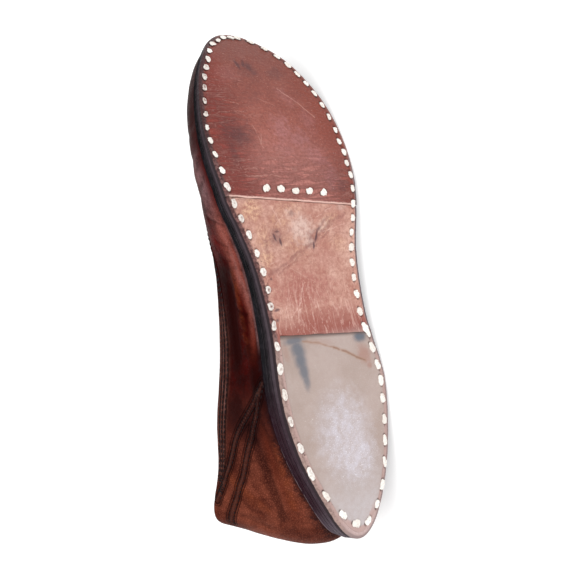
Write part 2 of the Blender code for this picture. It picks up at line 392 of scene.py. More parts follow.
# %% The seam's table: how far in, how far apart, how long and how broad its stitches are
SEAM = table(
    "station inner_inset outer_inset inner_pitch outer_pitch inner_length outer_length "
    "inner_breadth outer_breadth",
    (0.00, 7.0, 6.0, 9.0, 10.0, 4.6, 4.2, 3.6, 3.4),
    (0.05, 4.9, 2.4, 14.5, 9.0, 5.8, 4.4, 3.2, 3.0),
    (0.12, 1.7, 2.2, 14.0, 11.5, 6.0, 4.8, 3.0, 2.7),
    (0.22, 1.6, 3.6, 13.5, 10.5, 5.3, 4.8, 2.7, 3.0),
    (0.31, 1.3, 3.8, 11.5, 8.5, 5.0, 4.8, 2.6, 3.1),
    (0.38, 1.2, 3.6, 10.0, 9.5, 4.4, 5.0, 2.8, 3.2),
    (0.45, 2.4, 4.6, 8.5, 9.0, 3.8, 3.9, 2.7, 3.2),
    (0.52, 2.8, 4.0, 10.0, 8.0, 3.9, 3.8, 2.8, 3.1),
    (0.60, 2.6, 3.2, 7.5, 8.0, 3.9, 3.6, 2.8, 2.9),
    (0.68, 2.5, 3.1, 8.5, 7.5, 3.7, 3.5, 2.5, 2.7),
    (0.74, 1.7, 3.8, 7.0, 6.0, 3.2, 3.4, 2.1, 2.6),
    (0.82, 1.9, 2.8, 8.0, 8.0, 3.0, 3.6, 2.0, 2.5),
    (0.90, 2.7, 2.3, 6.5, 6.5, 3.6, 3.8, 2.9, 2.6),
    (0.96, 2.2, 2.5, 7.5, 7.0, 3.6, 3.7, 2.7, 2.6),
    (1.00, 2.7, 2.7, 4.5, 7.5, 3.4, 3.4, 2.6, 2.6),
)
Stitch = namedtuple("Stitch", "place along length breadth slant")
ROW_ENDS = (Vector((19.8, 176.2)) * MM, Vector((-16.4, 172.8)) * MM)
ROW_STITCHES = 5
FIRST_STITCH = 0.6
LONG_STITCH, LONG_REACH, LONG_STRETCH = 0.369, 0.017, 1.6
WALK_STEPS, EDGE_STEPS = 2400, 1600
dice = random.Random(11)


# %% Walk round the edge
def seam_at(station, side, what):
    return smooth(SEAM, ("inner_" if side > 0 else "outer_") + what, round(station, 4)) * MM


def edge_walk():
    """Points a little inside the edge, from the heel round the inner side to the toe and back."""
    walk = [(step / WALK_STEPS, 1) for step in range(WALK_STEPS + 1)]
    walk += [(turn, -1) for turn, _ in reversed(walk)]
    return [(inset_outline(turn, side, seam_at(station_at(turn), side, "inset")),
             station_at(turn), side) for turn, side in walk]


def sole_stitches():
    stitches = []
    walk = edge_walk()
    since = FIRST_STITCH * seam_at(0.0, 1, "pitch")
    wait = seam_at(0.0, 1, "pitch")
    for (before, _, _), (here, station, side) in zip(walk, walk[1:]):
        step = here - before
        since += step.length
        if since < wait or step.length == 0:
            continue
        since = 0.0
        wait = seam_at(station, side, "pitch") * dice.uniform(0.94, 1.06)
        along = step.normalized()
        length = seam_at(station, side, "length") * dice.uniform(0.86, 1.12)
        breadth = seam_at(station, side, "breadth") * dice.uniform(0.84, 1.12)
        slant = math.radians(dice.uniform(-10, 10) - 12 * (side < 0 and station < 0.45))
        if side < 0 and abs(station - LONG_STITCH) < LONG_REACH:
            length *= LONG_STRETCH
        aside = Vector((along.y, -along.x)) * dice.uniform(-0.45, 0.45) * MM
        stitches.append(Stitch(here + aside, along, length, breadth, slant))
    along = (ROW_ENDS[1] - ROW_ENDS[0]).normalized()
    for index in range(ROW_STITCHES):
        place = ROW_ENDS[0].lerp(ROW_ENDS[1], index / (ROW_STITCHES - 1))
        place.y += dice.uniform(-0.3, 0.3) * MM
        slant = math.radians(dice.uniform(-35, -15))
        stitches.append(Stitch(place, along, 4.0 * MM, 3.3 * MM, slant))
    return stitches


STITCHES = sole_stitches()
print(len(STITCHES), "stitches in the sole")


# %% The awl holes and the edge, to measure distances from
def stitch_ends(stitch):
    """The two awl holes of a stitch."""
    turned = stitch.along.copy()
    turned.rotate(Matrix.Rotation(stitch.slant, 2))
    return [stitch.place + turned * stitch.length / 2 * way for way in (-1, 1)]


HOLES = tree_of([(*end, 0) for stitch in STITCHES for end in stitch_ends(stitch)])
MIDDLES = tree_of([(*stitch.place, 0) for stitch in STITCHES])
EDGE = tree_of([(*outline(step / EDGE_STEPS, side), 0) for step in range(EDGE_STEPS + 1)
                for side in (1, -1)])
print("longest stitch in mm:", round(max(stitch.length for stitch in STITCHES) / MM, 1))


def nearest(tree, flat):
    """Distance in the plane of the sole, in millimetres."""
    return tree.find((flat[0], flat[1], 0))[2] / MM


# %% [markdown]
# ## The tread leathers
#
# Three leathers meet the ground. Each is a sheet cut to the outline between two joins. Its edge is
# worn round, it dips along the seam and into each awl hole, and the hands that cut it left it
# slightly uneven. Then it is extruded to its thickness, up to the stack above it.


# %% Small reliefs of worn sole leather, in millimetres
def worn_edge(distance, radius):
    """How far an edge is rounded away, at a distance from it."""
    if distance >= radius:
        return 0.0
    return radius - math.sqrt(radius ** 2 - (radius - distance) ** 2)


def bell(distance, width):
    """A soft bump: 1 in its middle and nearly 0 two widths away."""
    return math.exp(-(distance / width) ** 2)


def uneven(flat, size, seed):
    """Soft noise from -1 to 1; size is the width of a bump in millimetres."""
    return noise.noise(Vector((flat[0] / MM / size, flat[1] / MM / size, seed)))


CHANNEL_DEPTH, CHANNEL_WIDTH = 0.30, 3.4
HOLE_DEPTH, HOLE_WIDTH = 0.65, 0.85


def sewn(flat):
    """The dips of the seam: a shallow channel, pulled in at the stitches, and the holes."""
    return (CHANNEL_DEPTH * bell(nearest(MIDDLES, flat), CHANNEL_WIDTH)
            + HOLE_DEPTH * bell(nearest(HOLES, flat), HOLE_WIDTH))


def tread_sheet(name, start, end, relief, across, along, inset=0.0, wave=0.0):
    """A sheet over the tread between two joins. relief(flat) is in millimetres, inwards."""

    def place(u, v):
        spread = 0.4 * u + 0.6 * (1 - math.cos(math.pi * u)) / 2
        turns = []
        for low, high in ((start.inner, end.inner), (start.outer, end.outer)):
            turns.append(turn_at(low) + v * (turn_at(high) - turn_at(low)))
        inner = inset_outline(turns[0], 1, inset)
        outer = inset_outline(turns[1], -1, inset)
        flat = outer.lerp(inner, spread)
        near_start = max(0.0, 1 - v * 30)
        flat.y += wave * MM * near_start * uneven((flat.x, 0.0), 7.0, 3.0)
        return Vector((flat.x, flat.y, tread(flat.y) + relief(flat) * MM))

    return sheet(name, across, along, place)


def join_tree(join, count=300):
    inner = outline(turn_at(join.inner), 1)
    outer = outline(turn_at(join.outer), -1)
    return tree_of([(*outer.lerp(inner, step / count), 0) for step in range(count + 1)])


JOIN = join_tree(FOREPART_JOIN)
PATCH_EDGE = join_tree(PATCH_FRONT)


# %% The forepart leather
def forepart_relief(flat):
    distance = nearest(EDGE, flat)
    swell = 0.18 * uneven(flat, 26, 1.0) + 0.07 * uneven(flat, 7, 2.0)
    join = 0.3 * worn_edge(nearest(JOIN, flat), 0.6)
    return worn_edge(distance, 1.0) + join + sewn(flat) + swell * min(1.0, distance / 4)


forepart = tread_sheet("forepart_leather", FOREPART_JOIN, TOE_TIP, forepart_relief,
                       across=110, along=130, wave=0.5)
thicken(forepart, tread_top)
shade_smooth(forepart)


# %% The waist leather, with the recess for the heel patch
def waist_relief(flat):
    distance = nearest(EDGE, flat)
    swell = 0.20 * uneven(flat, 22, 4.0) + 0.08 * uneven(flat, 6, 5.0)
    lip = -0.35 * bell(nearest(PATCH_EDGE, flat), 2.5)
    dip = sewn(flat) + worn_edge(distance, 1.0) + swell * min(1.0, distance / 4)
    return FOREPART_PROUD / MM + lip + dip


WAIST_FRONT = Join(FOREPART_JOIN.inner - GAP / LENGTH, FOREPART_JOIN.outer - GAP / LENGTH)
waist = tread_sheet("waist_leather", WAIST_FRONT, HEEL_END, waist_relief, across=96, along=170)
thicken(waist, tread_top)
recess_depth = (FOREPART_PROUD + PATCH_SUNK + PATCH_THICKNESS + GAP) / MM
recess = tread_sheet("recess", PATCH_FRONT, HEEL_END, lambda flat: recess_depth, across=24,
                     along=60, inset=PATCH_INSET - 0.05 * MM, wave=0.6)
thicken(recess, lambda y: -3 * MM)
apply_modifier(waist, "BOOLEAN", operation="DIFFERENCE", object=recess)
bpy.data.objects.remove(recess)
shade_smooth(waist)


# %% The heel patch
def patch_relief(flat):
    distance = nearest(EDGE, flat) - PATCH_INSET / MM
    front = nearest(PATCH_EDGE, flat)
    swell = 0.12 * uneven(flat, 30, 6.0) + 0.04 * uneven(flat, 5, 7.0)
    by_rim = max(0.5 - flat.x / MM / 20, 2.0 - flat.y / MM / 12, 0.0)
    flush = min(by_rim, 1.0) * min(1.0, front / 8)
    edge = (0.5 - 0.4 * flush) * worn_edge(max(distance, 0.0), 0.5)
    edge += 0.5 * bell(nearest(HOLES, flat), 0.9)
    return (FOREPART_PROUD + PATCH_SUNK * (1 - flush)) / MM + edge + swell * min(1.0, front / 4)


patch = tread_sheet("heel_patch_leather", PATCH_FRONT, HEEL_END, patch_relief, across=84,
                    along=110, inset=PATCH_INSET)
patch_top = FOREPART_PROUD + PATCH_SUNK + PATCH_THICKNESS
thicken(patch, lambda y: patch_top)
shade_smooth(patch)


# %% What the sole's finishes need to know at each point
def note_sole(piece):
    store_shoe_place(piece)
    points = shoe_points(piece)
    store(piece, "edge", [nearest(EDGE, p) for p in points])
    store(piece, "hole", [nearest(HOLES, p) for p in points])
    store(piece, "join", [min(nearest(JOIN, p), nearest(PATCH_EDGE, p)) for p in points])
    store(piece, "depth", [(p.z - tread(p.y)) / MM for p in points])


for leather in (forepart, waist, patch):
    note_sole(leather)
print("tread leathers cut:", forepart.name, waist.name, patch.name)

# %% [markdown]
# ## The stacked edge and the rand
#
# Between tread and upper the sole's edge is a stack of leathers, trimmed with a knife, dyed blue
# black and burnished. Above it a thin strip, the rand, follows the shoe. Both are a strip of the
# grid primitive, bent round the outline with its two ends welded together. Across the strip runs
# the profile: the places where two leathers meet are fine grooves.


# %% A strip round the shoe
STRIP_SECTIONS, STRIP_POINTS = 640, 34


def strip(name, profile):
    """profile(base, t) gives (inset, height above the tread) round a closed section."""

    def place(u, v):
        turn, side = (2 * v, 1) if v <= 0.5 else (2 * (1 - v), -1)
        base = outline(turn, side)
        inset, height = profile(base, u)
        flat = base - inset * outward(turn, side)
        return Vector((flat.x, flat.y, tread(flat.y) + height))

    piece = sheet(name, STRIP_POINTS, STRIP_SECTIONS, place)
    weld(piece)
    face_outwards(piece)
    shade_smooth(piece, 50)
    return piece


def along_profile(corners, t):
    """A point on a closed polygon of (inset, height, share of the strip's points)."""
    total = sum(corner[2] for corner in corners)
    way = (t % 1.0) * total
    for (inset, height, share), after in zip(corners, corners[1:] + corners[:1]):
        if way <= share:
            part = way / share
            return inset + part * (after[0] - inset), height + part * (after[1] - height), part
        way -= share
    return corners[0][0], corners[0][1], 0.0

# %% The stack and the rand
STACK_JOINTS = (0.36, 0.70)
STACK_FACE, RAND_FACE = 24, 26


def stack_profile(base, t):
    y = base.y
    low, high = tread_top(y) + GAP, stack(y) - rand_height(y) - GAP
    corners = [(MIDSOLE_INSET, low, STACK_FACE), (MIDSOLE_INSET, high, 4), (9 * MM, high, 2),
               (9 * MM, low, 4)]
    inset, height, part = along_profile(corners, t)
    if t <= STACK_FACE / STRIP_POINTS:
        rounding = worn_edge(min(part, 1 - part) * (high - low) / MM, 0.7)
        joints = sum(0.28 * bell((part - joint) * (high - low) / MM, 0.22)
                     for joint in STACK_JOINTS)
        waves = 0.22 * uneven((base.x, base.y + height * 3), 9, 8.0)
        grit = Vector((base.x / MM / 2.5, base.y / MM / 2.5, height / MM / 0.5))
        belly = 0.35 * math.sin(math.pi * part)
        inset += (rounding + joints + waves + 0.10 * noise.noise(grit) - belly) * MM
    return inset, height


def rand_profile(base, t):
    y = base.y
    low, high = stack(y) - rand_height(y), stack(y)
    corners = [(RAND_INSET, low, RAND_FACE), (RAND_INSET, high, 3),
               (RAND_INSET + RAND_BREADTH, high, 2), (RAND_INSET + RAND_BREADTH, low, 3)]
    inset, height, part = along_profile(corners, t)
    if t <= RAND_FACE / STRIP_POINTS:
        cords = abs(math.sin(2 * math.pi * part)) ** 0.6
        twist = 0.12 * uneven((base.x, base.y), 2.2, part)
        inset += (0.75 * (1 - cords) + twist + 0.15 * uneven(base, 12, 9.0)) * MM
    return inset, height


stacked_edge = strip("stacked_edge", stack_profile)
rand = strip("rand_strip", rand_profile)
print("stack at the heel in mm:", round(stack(0.1 * LENGTH) / MM, 1))
for piece in (stacked_edge, rand):
    store_shoe_place(piece)
    points = shoe_points(piece)
    store(piece, "high", [(p.z - tread(p.y)) / stack(p.y) for p in points])

# %% [markdown]
# ## The upper
#
# One piece of soft goat leather, wet, pulled over the last and left to dry. So its sheet is laid on
# the last's own surface, one half for each side, joined along the heel, the vamp and the toe. The
# points are closest at the collar, where three rows of stitching lie between little ridges.
#
# The creases, folds and seams are laid one by one: each is a line through a few places, given as a
# distance along the shoe and a height over the seat. Near a line the leather rises or sinks.

# %% Lines on the upper, by (along, height) in millimetres
COUNTER_SEAMS = (
    ((84, 1), (80, 5), (74, 12), (60, 29), (50, 37), (37, 46), (26, 53)),
    ((84, 2), (76, 6), (66, 13), (50, 25), (41, 31), (28, 39), (13, 49)),
)
SIDE_SEAM = ((100, 0), (96, 7), (91, 14), (89, 24), (87, 36))
FOLDS = table(
    "points height width",
    (((86, 8), (70, 5), (50, 3), (20, 8)), 1.0, 3.2),
    (((74, 1), (60, 1), (46, 1)), -0.5, 1.2),
    (((56, 18), (31, 16), (15, 17)), -1.0, 3.5),
    (((20, 22), (28, 32), (38, 42)), 0.9, 4.0),
    (((10, 27), (18, 40)), -0.5, 2.5),
    (((140, 11), (112, 12), (96, 9)), 0.9, 3.0),
    (((134, 18), (112, 20), (98, 20)), -0.8, 2.6),
    (((168, 15), (162, 4)), -0.6, 1.3),
    (((157, 17), (152, 8)), -0.5, 1.2),
    (((147, 16), (144, 5)), -0.4, 1.0),
    (((122, 15), (118, 7)), -0.5, 1.1),
    (((113, 16), (108, 9)), -0.5, 1.1),
    (((105, 15), (101, 6)), -0.4, 1.0),
    (((176, 30), (181, 20), (184, 8)), -0.4, 2.2),
    (((186, 29), (191, 18), (192, 7)), 0.3, 2.6),
    (((195, 27), (199, 17), (201, 6)), -0.45, 2.2),
    (((209, 24), (212, 14), (214, 5)), -0.35, 2.0),
)
TOPLINE_ROWS = (3.0, 6.2, 9.8)
TOPLINE_RIDGES = (1.4, 4.6, 8.0)
ROWS_END, ROWS_FULL = 36, 95


# %% Paths on the upper
def curve_through(points, count=80):
    """A smooth curve through a few points."""
    points = [Vector(point) for point in points]
    points = [2 * points[0] - points[1], *points, 2 * points[-1] - points[-2]]
    spans = len(points) - 3
    curve = []
    for index in range(count + 1):
        way = min(index / count * spans, spans - 1e-6)
        first = int(way)
        t = way - first
        a, b, c, d = points[first:first + 4]
        curve.append((2 * b + (c - a) * t + (2 * a - 5 * b + 4 * c - d) * t ** 2
                      + (3 * b - a - 3 * c + d) * t ** 3) / 2)
    return curve


def on_upper(side, y, rise):
    """The point of the upper at a distance along the shoe and a height over the seat, in mm."""
    station = y * MM / LENGTH
    for _ in range(8):
        station = min(max(station, 0.0), 1.0)
        crown, topline = arch(station)
        part = arch_angle(max(rise, 0.0) * MM, crown) / arch_angle(topline, crown)
        point = upper_point(turn_at(station), side, min(1.0, part))
        station += (y * MM - point.y) / LENGTH
    return point


def line_on_upper(side, points):
    return [on_upper(side, y, rise) for y, rise in curve_through(points)]


def throat_turn():
    """The turn where the collar's front meets the middle line."""
    low, high = turn_at(UPPER[4].station), turn_at(UPPER[8].station)
    for _ in range(40):
        middle = (low + high) / 2
        crown, topline = arch(station_at(middle))
        low, high = (middle, high) if topline < crown else (low, middle)
    return high


THROAT = throat_turn()


def topline_loop(steps=700):
    """The collar's edge: from the heel along the inner side to the throat, and back."""
    turns = [THROAT * (0.6 * i / steps + 0.4 * math.sin(math.pi / 2 * i / steps))
             for i in range(steps + 1)]
    loop = [upper_point(turn, 1, 1.0) for turn in turns]
    return loop + [upper_point(turn, -1, 1.0) for turn in reversed(turns)]


TOPLINE = topline_loop()


def rows_scale(y):
    """The stitch rows run closer together towards the heel."""
    t = min(max((y / MM - ROWS_END) / (ROWS_FULL - ROWS_END), 0.0), 1.0)
    return 0.55 + 0.45 * t * t * (3 - 2 * t)


# %% Lay the upper's two halves on the last and join them
QUARTER_ROWS, VAMP_ROWS, UPPER_COLUMNS = 200, 84, 68


def upper_half(name, side):
    share = QUARTER_ROWS / (QUARTER_ROWS + VAMP_ROWS)

    def place(u, v):
        if v <= share:
            t = v / share
            turn = THROAT * (0.62 * t + 0.38 * math.sin(math.pi / 2 * t))
        else:
            turn = THROAT + (1 - THROAT) * (v - share) / (1 - share)
        part = 0.35 * u + 0.65 * (1 - (1 - u) ** 2)
        return upper_point(round(turn, 7), side, part)

    return sheet(name, UPPER_COLUMNS, QUARTER_ROWS + VAMP_ROWS, place)


upper = upper_half("upper_leather", 1)
upper_half("other_half", -1)
upper.select_set(True)
bpy.context.view_layer.objects.active = upper
bpy.ops.object.join()
weld(upper, 0.00003)
face_outwards(upper)


# %% Raise and sink the leather along the lines
def lines_tree(lines):
    return tree_of([point for line in lines for point in line])


topline_tree = tree_of(TOPLINE)
both_sides = (1, -1)
seam_tree = lines_tree([line_on_upper(side, seam) for side in both_sides
                        for seam in COUNTER_SEAMS])
side_tree = lines_tree([line_on_upper(-1, SIDE_SEAM)])
fold_trees = [(lines_tree([line_on_upper(side, fold.points) for side in both_sides]), fold)
              for fold in FOLDS]


def ramp(value, low, high):
    t = min(max((value - low) / (high - low), 0.0), 1.0)
    return t * t * (3 - 2 * t)


def shape_upper(piece):
    notes = {name: [] for name in ("edge", "rise", "seam", "side", "fold")}
    normals = [vertex.normal.copy() for vertex in piece.data.vertices]
    for vertex, normal, p in zip(piece.data.vertices, normals, shoe_points(piece)):
        away = topline_tree.find(p)[2] / MM
        edge = away / rows_scale(p.y)
        rows = ramp(p.y / MM, ROWS_END - 4, ROWS_END + 6)
        seam = seam_tree.find(p)[2] / MM
        side = side_tree.find(p)[2] / MM
        rise = (p.z - tread(p.y) - stack(p.y)) / MM
        fold = sum(crease.height * bell(tree.find(p)[2] / MM, crease.width)
                   for tree, crease in fold_trees)
        relief = fold + 0.45 * uneven(p, 24, p.z / MM / 24) + 0.16 * uneven(p, 8, p.z / MM / 8)
        relief += 0.4 * bell(seam, 0.9) - 0.3 * bell(seam - 1.6, 0.6)
        relief += 0.6 * bell(side, 1.1) - 0.4 * bell(side - 2.1, 0.7)
        relief -= rows * sum(0.45 * bell(edge - row, 0.55) for row in TOPLINE_ROWS)
        relief += rows * sum(0.32 * bell(edge - ridge, 0.95) for ridge in TOPLINE_RIDGES)
        relief *= ramp(rise, -0.5, 2.5)
        for name, value in zip(notes, (edge, rise, seam, side, fold)):
            notes[name].append(value)
        vertex.co += normal * relief * MM
    for name, values in notes.items():
        store(piece, name, values)
    store_shoe_place(piece)


shape_upper(upper)
upper_surface = BVHTree.FromPolygons([vertex.co.copy() for vertex in upper.data.vertices],
                                     [tuple(face.vertices) for face in upper.data.polygons])
upper.data.materials.append(None)
upper.data.materials.append(None)
apply_modifier(upper, "SOLIDIFY", thickness=WALL, offset=-1, material_offset=1)
apply_modifier(upper, "BEVEL", width=0.7 * MM, segments=2, limit_method="ANGLE",
               angle_limit=math.radians(62))
shade_smooth(upper, 60)
print("upper laid on the last:", len(upper.data.polygons), "faces")

# %% [markdown]
# ## The insole
#
# A thin tan leather on the bed of the sole. It shows only through the collar. Feet have pressed
# it down a little under the heel and the ball.


# %% The insole
def insole_place(u, v):
    inset = UPPER_INSET + WALL + INSOLE_EASE
    inner, outer = inset_outline(v, 1, inset), inset_outline(v, -1, inset)
    flat = outer.lerp(inner, u)
    worn = 0.5 * bell((flat - Vector((0, 42 * MM))).length / MM, 26)
    worn += 0.4 * bell((flat - Vector((2 * MM, 190 * MM))).length / MM, 30)
    height = stack(flat.y) + GAP + INSOLE_THICKNESS - worn * MM
    height += (0.15 * uneven(flat, 14, 12.0) - worn_edge(min(u, 1 - u) * 60, 0.6)) * MM
    return Vector((flat.x, flat.y, tread(flat.y) + height))


insole = sheet("insole_leather", across=50, along=110, place=insole_place)
thicken(insole, lambda y: stack(y) + GAP)
shade_smooth(insole)
store_shoe_place(insole)

# %% [markdown]
# ## Thread
#
# A stitch shows as a short, fat grain of twisted thread that dives into the leather at both ends.
# It is a sphere drawn out, with a groove for each strand, and it is copied to every place of the
# seam. No two are alike: length, slant and bulge vary a little, as they do by hand.

# %% Tools for thread
Laid = namedtuple("Laid", "centre along up length breadth height soil", defaults=(0.0,))


def thread_piece(name, laid, segments=8, rings=6, lumps=0.0, squareness=1.0, strands=2.6):
    """Copies of one stitch as one mesh."""
    deselect()
    bpy.ops.mesh.primitive_uv_sphere_add(segments=segments, ring_count=rings, radius=1)
    ball = bpy.context.object
    grain = [vertex.co.copy() for vertex in ball.data.vertices]
    faces = [tuple(face.vertices) for face in ball.data.polygons]
    bpy.data.objects.remove(ball)
    points, polygons, ply, tint, soil = [], [], [], [], []
    for index, stitch in enumerate(laid):
        aside = stitch.up.cross(stitch.along).normalized()
        first = len(points)
        chance = random.Random(index)
        shade, skew = chance.random(), chance.uniform(-0.3, 0.3)
        taper = chance.uniform(-0.22, 0.22)
        for p in grain:
            strand = math.cos(math.atan2(p.y, p.x) - strands * p.z)
            radius = 1 - 0.16 * (1 - abs(strand)) ** 2
            fullness = (1 - abs(p.z) ** 4) ** 0.5 / max((1 - p.z ** 2) ** 0.5, 0.25)
            radius *= 1 + (min(fullness, 1.35) - 1) * squareness
            lump = lumps * noise.noise(Vector((*p.xy * 1.6, p.z * 2.4 + index * 7.3)))
            dive = 0.42 * abs(p.z) ** 3
            place = stitch.along * p.z * stitch.length / 2
            wide = p.x * radius * (1 + lump) * (1 + taper * p.z) + skew * lumps * p.z
            place += aside * wide * stitch.breadth / 2
            place += stitch.up * (p.y * radius * (1 + lump) - dive) * stitch.height / 2
            points.append(stitch.centre + place)
            ply.append(abs(strand))
            tint.append(shade)
            soil.append(stitch.soil * (0.5 + 1.2 * max(0.0, 1 - math.hypot(p.x, p.z) / 0.7)))
        polygons += [tuple(first + corner for corner in face) for face in faces]
    mesh = bpy.data.meshes.new(name)
    mesh.from_pydata(points, [], polygons)
    piece = bpy.data.objects.new(name, mesh)
    bpy.context.scene.collection.objects.link(piece)
    for note, values in (("ply", ply), ("tint", tint), ("soil", soil)):
        store(piece, note, values)
    face_outwards(piece)
    shade_smooth(piece, 70)
    return piece


# %% The sole's stitches, set on the tread leathers
def tread_surface():
    points, faces = [], []
    for piece in (forepart, waist, patch):
        first = len(points)
        points += [vertex.co.copy() for vertex in piece.data.vertices]
        faces += [[first + corner for corner in face.vertices] for face in piece.data.polygons]
    return BVHTree.FromPolygons(points, faces)


def outermost(surface, up_through, flat):
    """The tread's surface at a place, or beside it where a gap between leathers runs there."""
    hits = []
    for dx, dy in ((0, 0), (1, 0), (-1, 0), (0, 1), (0, -1)):
        under = POSE @ Vector((flat.x + dx * MM, flat.y + dy * MM, -20 * MM))
        found = surface.ray_cast(under, up_through)[0]
        if found:
            hits.append((UNPOSE @ found).z)
    return POSE @ Vector((*flat, min(hits)))


def lay_sole_stitches():
    surface = tread_surface()
    up_through = TO_WORLD @ Vector((0, 0, 1))
    laid = []
    for stitch in STITCHES:
        ends = [outermost(surface, up_through, end) for end in (*stitch_ends(stitch), stitch.place)]
        along = (ends[1] - ends[0]).normalized()
        slope = (tread(stitch.place.y + MM) - tread(stitch.place.y - MM)) / (2 * MM)
        up = TO_WORLD @ Vector((0, slope, -1)).normalized()
        height = 0.95 * MM * dice.uniform(0.85, 1.15)
        centre = (ends[0] + ends[1] + 2 * ends[2]) / 4 + up * 0.2 * MM
        inner = ramp(stitch.place.x / MM, 22, 28)
        y = stitch.place.y / MM
        soil = 0.9 * bell(y - 228, 17) + 0.55 * bell(y - 165, 16) + 0.85 * bell(y - 118, 18)
        soil = inner * (soil + 0.4 * ramp(y, 104, 84))
        length = stitch.length + 0.5 * MM
        laid.append(Laid(centre, along, up, length, stitch.breadth, height, soil))
    return laid


sole_stitches = thread_piece("sole_stitches", lay_sole_stitches(), segments=22, rings=16,
                             lumps=0.45)


# %% Fine dark thread along the upper's seams
def beside(path, distance, reach=14):
    """A path on the upper beside another one, eased round its corners."""
    moved = []
    for index in range(reach, len(path) - reach):
        along = TO_WORLD @ (path[index + reach] - path[index - reach]).normalized()
        here = POSE @ path[index]
        _, up, _, _ = upper_surface.find_nearest(here)
        away = up.cross(along).normalized() * distance * rows_scale(path[index].y)
        moved.append(UNPOSE @ upper_surface.find_nearest(here + away)[0])
    return moved


def stitches_along(path, pitch, length, breadth, offset=0, slant=0):
    """Stitches on the upper, beside a path, with sizes in millimetres and slant in degrees."""
    laid = []
    wait = pitch / 2 * MM
    for before, here in zip(path, path[1:]):
        step = here - before
        if step.length > 2 * MM:
            continue
        wait -= step.length
        if wait > 0 or step.length == 0:
            continue
        wait = pitch * MM * dice.uniform(0.93, 1.07)
        along = TO_WORLD @ step.normalized()
        _, up, _, _ = upper_surface.find_nearest(POSE @ here)
        inwards = up.cross(along).normalized()
        centre, up, _, _ = upper_surface.find_nearest(POSE @ here + inwards * offset * MM)
        along = (along - up * along.dot(up)).normalized()
        along.rotate(Matrix.Rotation(math.radians(slant + dice.uniform(-5, 5)), 3, up))
        laid.append(Laid(centre + up * 0.06 * MM, along, up, length * MM, breadth * MM,
                         breadth * MM))
    return laid


def fine_path(points):
    """The same path with points close together."""
    path = []
    for a, b in zip(points, points[1:]):
        parts = max(1, int((b - a).length / (0.2 * MM)))
        path += [a.lerp(b, part / parts) for part in range(parts)]
    return path + [points[-1]]


collar_path = [point for point in fine_path(TOPLINE) if point.y > ROWS_END * MM]
topline_laid = []
for row in TOPLINE_ROWS:
    topline_laid += stitches_along(beside(collar_path, -row * MM), pitch=2.5, length=2.2,
                                   breadth=0.6)
bar_path = [point for point in fine_path(TOPLINE) if ROWS_END - 5 < point.y / MM < ROWS_END + 3]
topline_laid += stitches_along(bar_path, pitch=1.0, length=4.2, breadth=0.7, offset=-3.4, slant=86)
topline_thread = thread_piece("topline_thread", topline_laid)

counter_laid = []
for side in both_sides:
    for seam in COUNTER_SEAMS:
        path = fine_path(line_on_upper(side, seam))
        for offset in (-1.35, 1.35):
            counter_laid += stitches_along(path, pitch=2.6, length=1.9, breadth=0.42,
                                           offset=offset)
side_path = fine_path(line_on_upper(-1, SIDE_SEAM))
side_laid = stitches_along(side_path, pitch=1.5, length=3.6, breadth=0.7, slant=78)
counter_thread = thread_piece("counter_thread", counter_laid)
side_seam_thread = thread_piece("side_seam_thread", side_laid)
print("stitches in the upper:", len(topline_laid) + len(counter_laid) + len(side_laid))

# %% [markdown]
# ## Finishes
#
# Nothing here is one flat colour. The leathers are dyed by hand, rubbed darker along the seams,
# then walked on. So each material is layered like the real thing: a base colour that drifts, stains
# and marks where they lie, wear on top, and grain in the height. What several of them share, such
# as drifting colour, soft stains, lines and grain, is a node group that is made once.
#
# Wiring so many nodes by hand hides what they do. A small class lets an output be added up and
# multiplied like a number, and each sum or product becomes a node.


# %% Node outputs that work like numbers
def operators(operation):
    """The two methods that Python calls for an operator, from the left and from the right."""
    return (lambda self, other: self.math(operation, self, other),
            lambda self, other: self.math(operation, other, self))


class Value:
    """An output of a node. Its sums and products are Math nodes in the same tree."""
    maths = "Math"

    def __init__(self, socket):
        self.socket = socket

    def node(self, kind, inputs, output=0, **settings):
        return add_node(self.socket.id_data, kind, inputs, **settings)[output]

    def math(self, operation, *inputs):
        return self.node(self.maths, dict(enumerate(inputs)), operation=operation)

    __add__, __radd__ = operators("ADD")
    __sub__, __rsub__ = operators("SUBTRACT")
    __mul__, __rmul__ = operators("MULTIPLY")
    __truediv__, __rtruediv__ = operators("DIVIDE")

    def band(self, low, high, bottom=0, top=1):
        """0 below low and 1 above high, soft in between."""
        inputs = {"Value": self, "From Min": low, "From Max": high, "To Min": bottom, "To Max": top}
        return self.node("MapRange", inputs, interpolation_type="SMOOTHSTEP")

    def near(self, place, width):
        """1 at a place, falling to 0 a width away."""
        return self.math("ABSOLUTE", self - place).band(width, 0)

    def mix(self, first, second):
        """The first colour at 0 and the second at 1."""
        return self.node("Mix", {0: self, 6: first, 7: second}, 2, data_type="RGBA")


# %% Outputs with three numbers
class Place(Value):
    """An output with three numbers, such as a place on a piece."""
    maths = "VectorMath"

    def scale(self, by):
        return self.node("VectorMath", {0: self, 3: by}, operation="SCALE")

    def length(self):
        return self.node("VectorMath", {0: self}, 1, operation="LENGTH")

    def dot(self, other):
        return self.node("VectorMath", {0: self, 1: other}, 1, operation="DOT_PRODUCT")

    def channels(self):
        return add_node(self.socket.id_data, "SeparateXYZ", {0: self})

    def noise(self, size, detail=2, roughness=0.5, distortion=0, output=0):
        inputs = {"Vector": self, "Scale": 1 / size, "Detail": detail, "Roughness": roughness,
                  "Distortion": distortion}
        return self.node("TexNoise", inputs, output)

    def through(self, group, **inputs):
        """What a node group puts out at this place."""
        return add_node(self.socket.id_data, "Group", {"Place": self, **inputs}, node_tree=group)


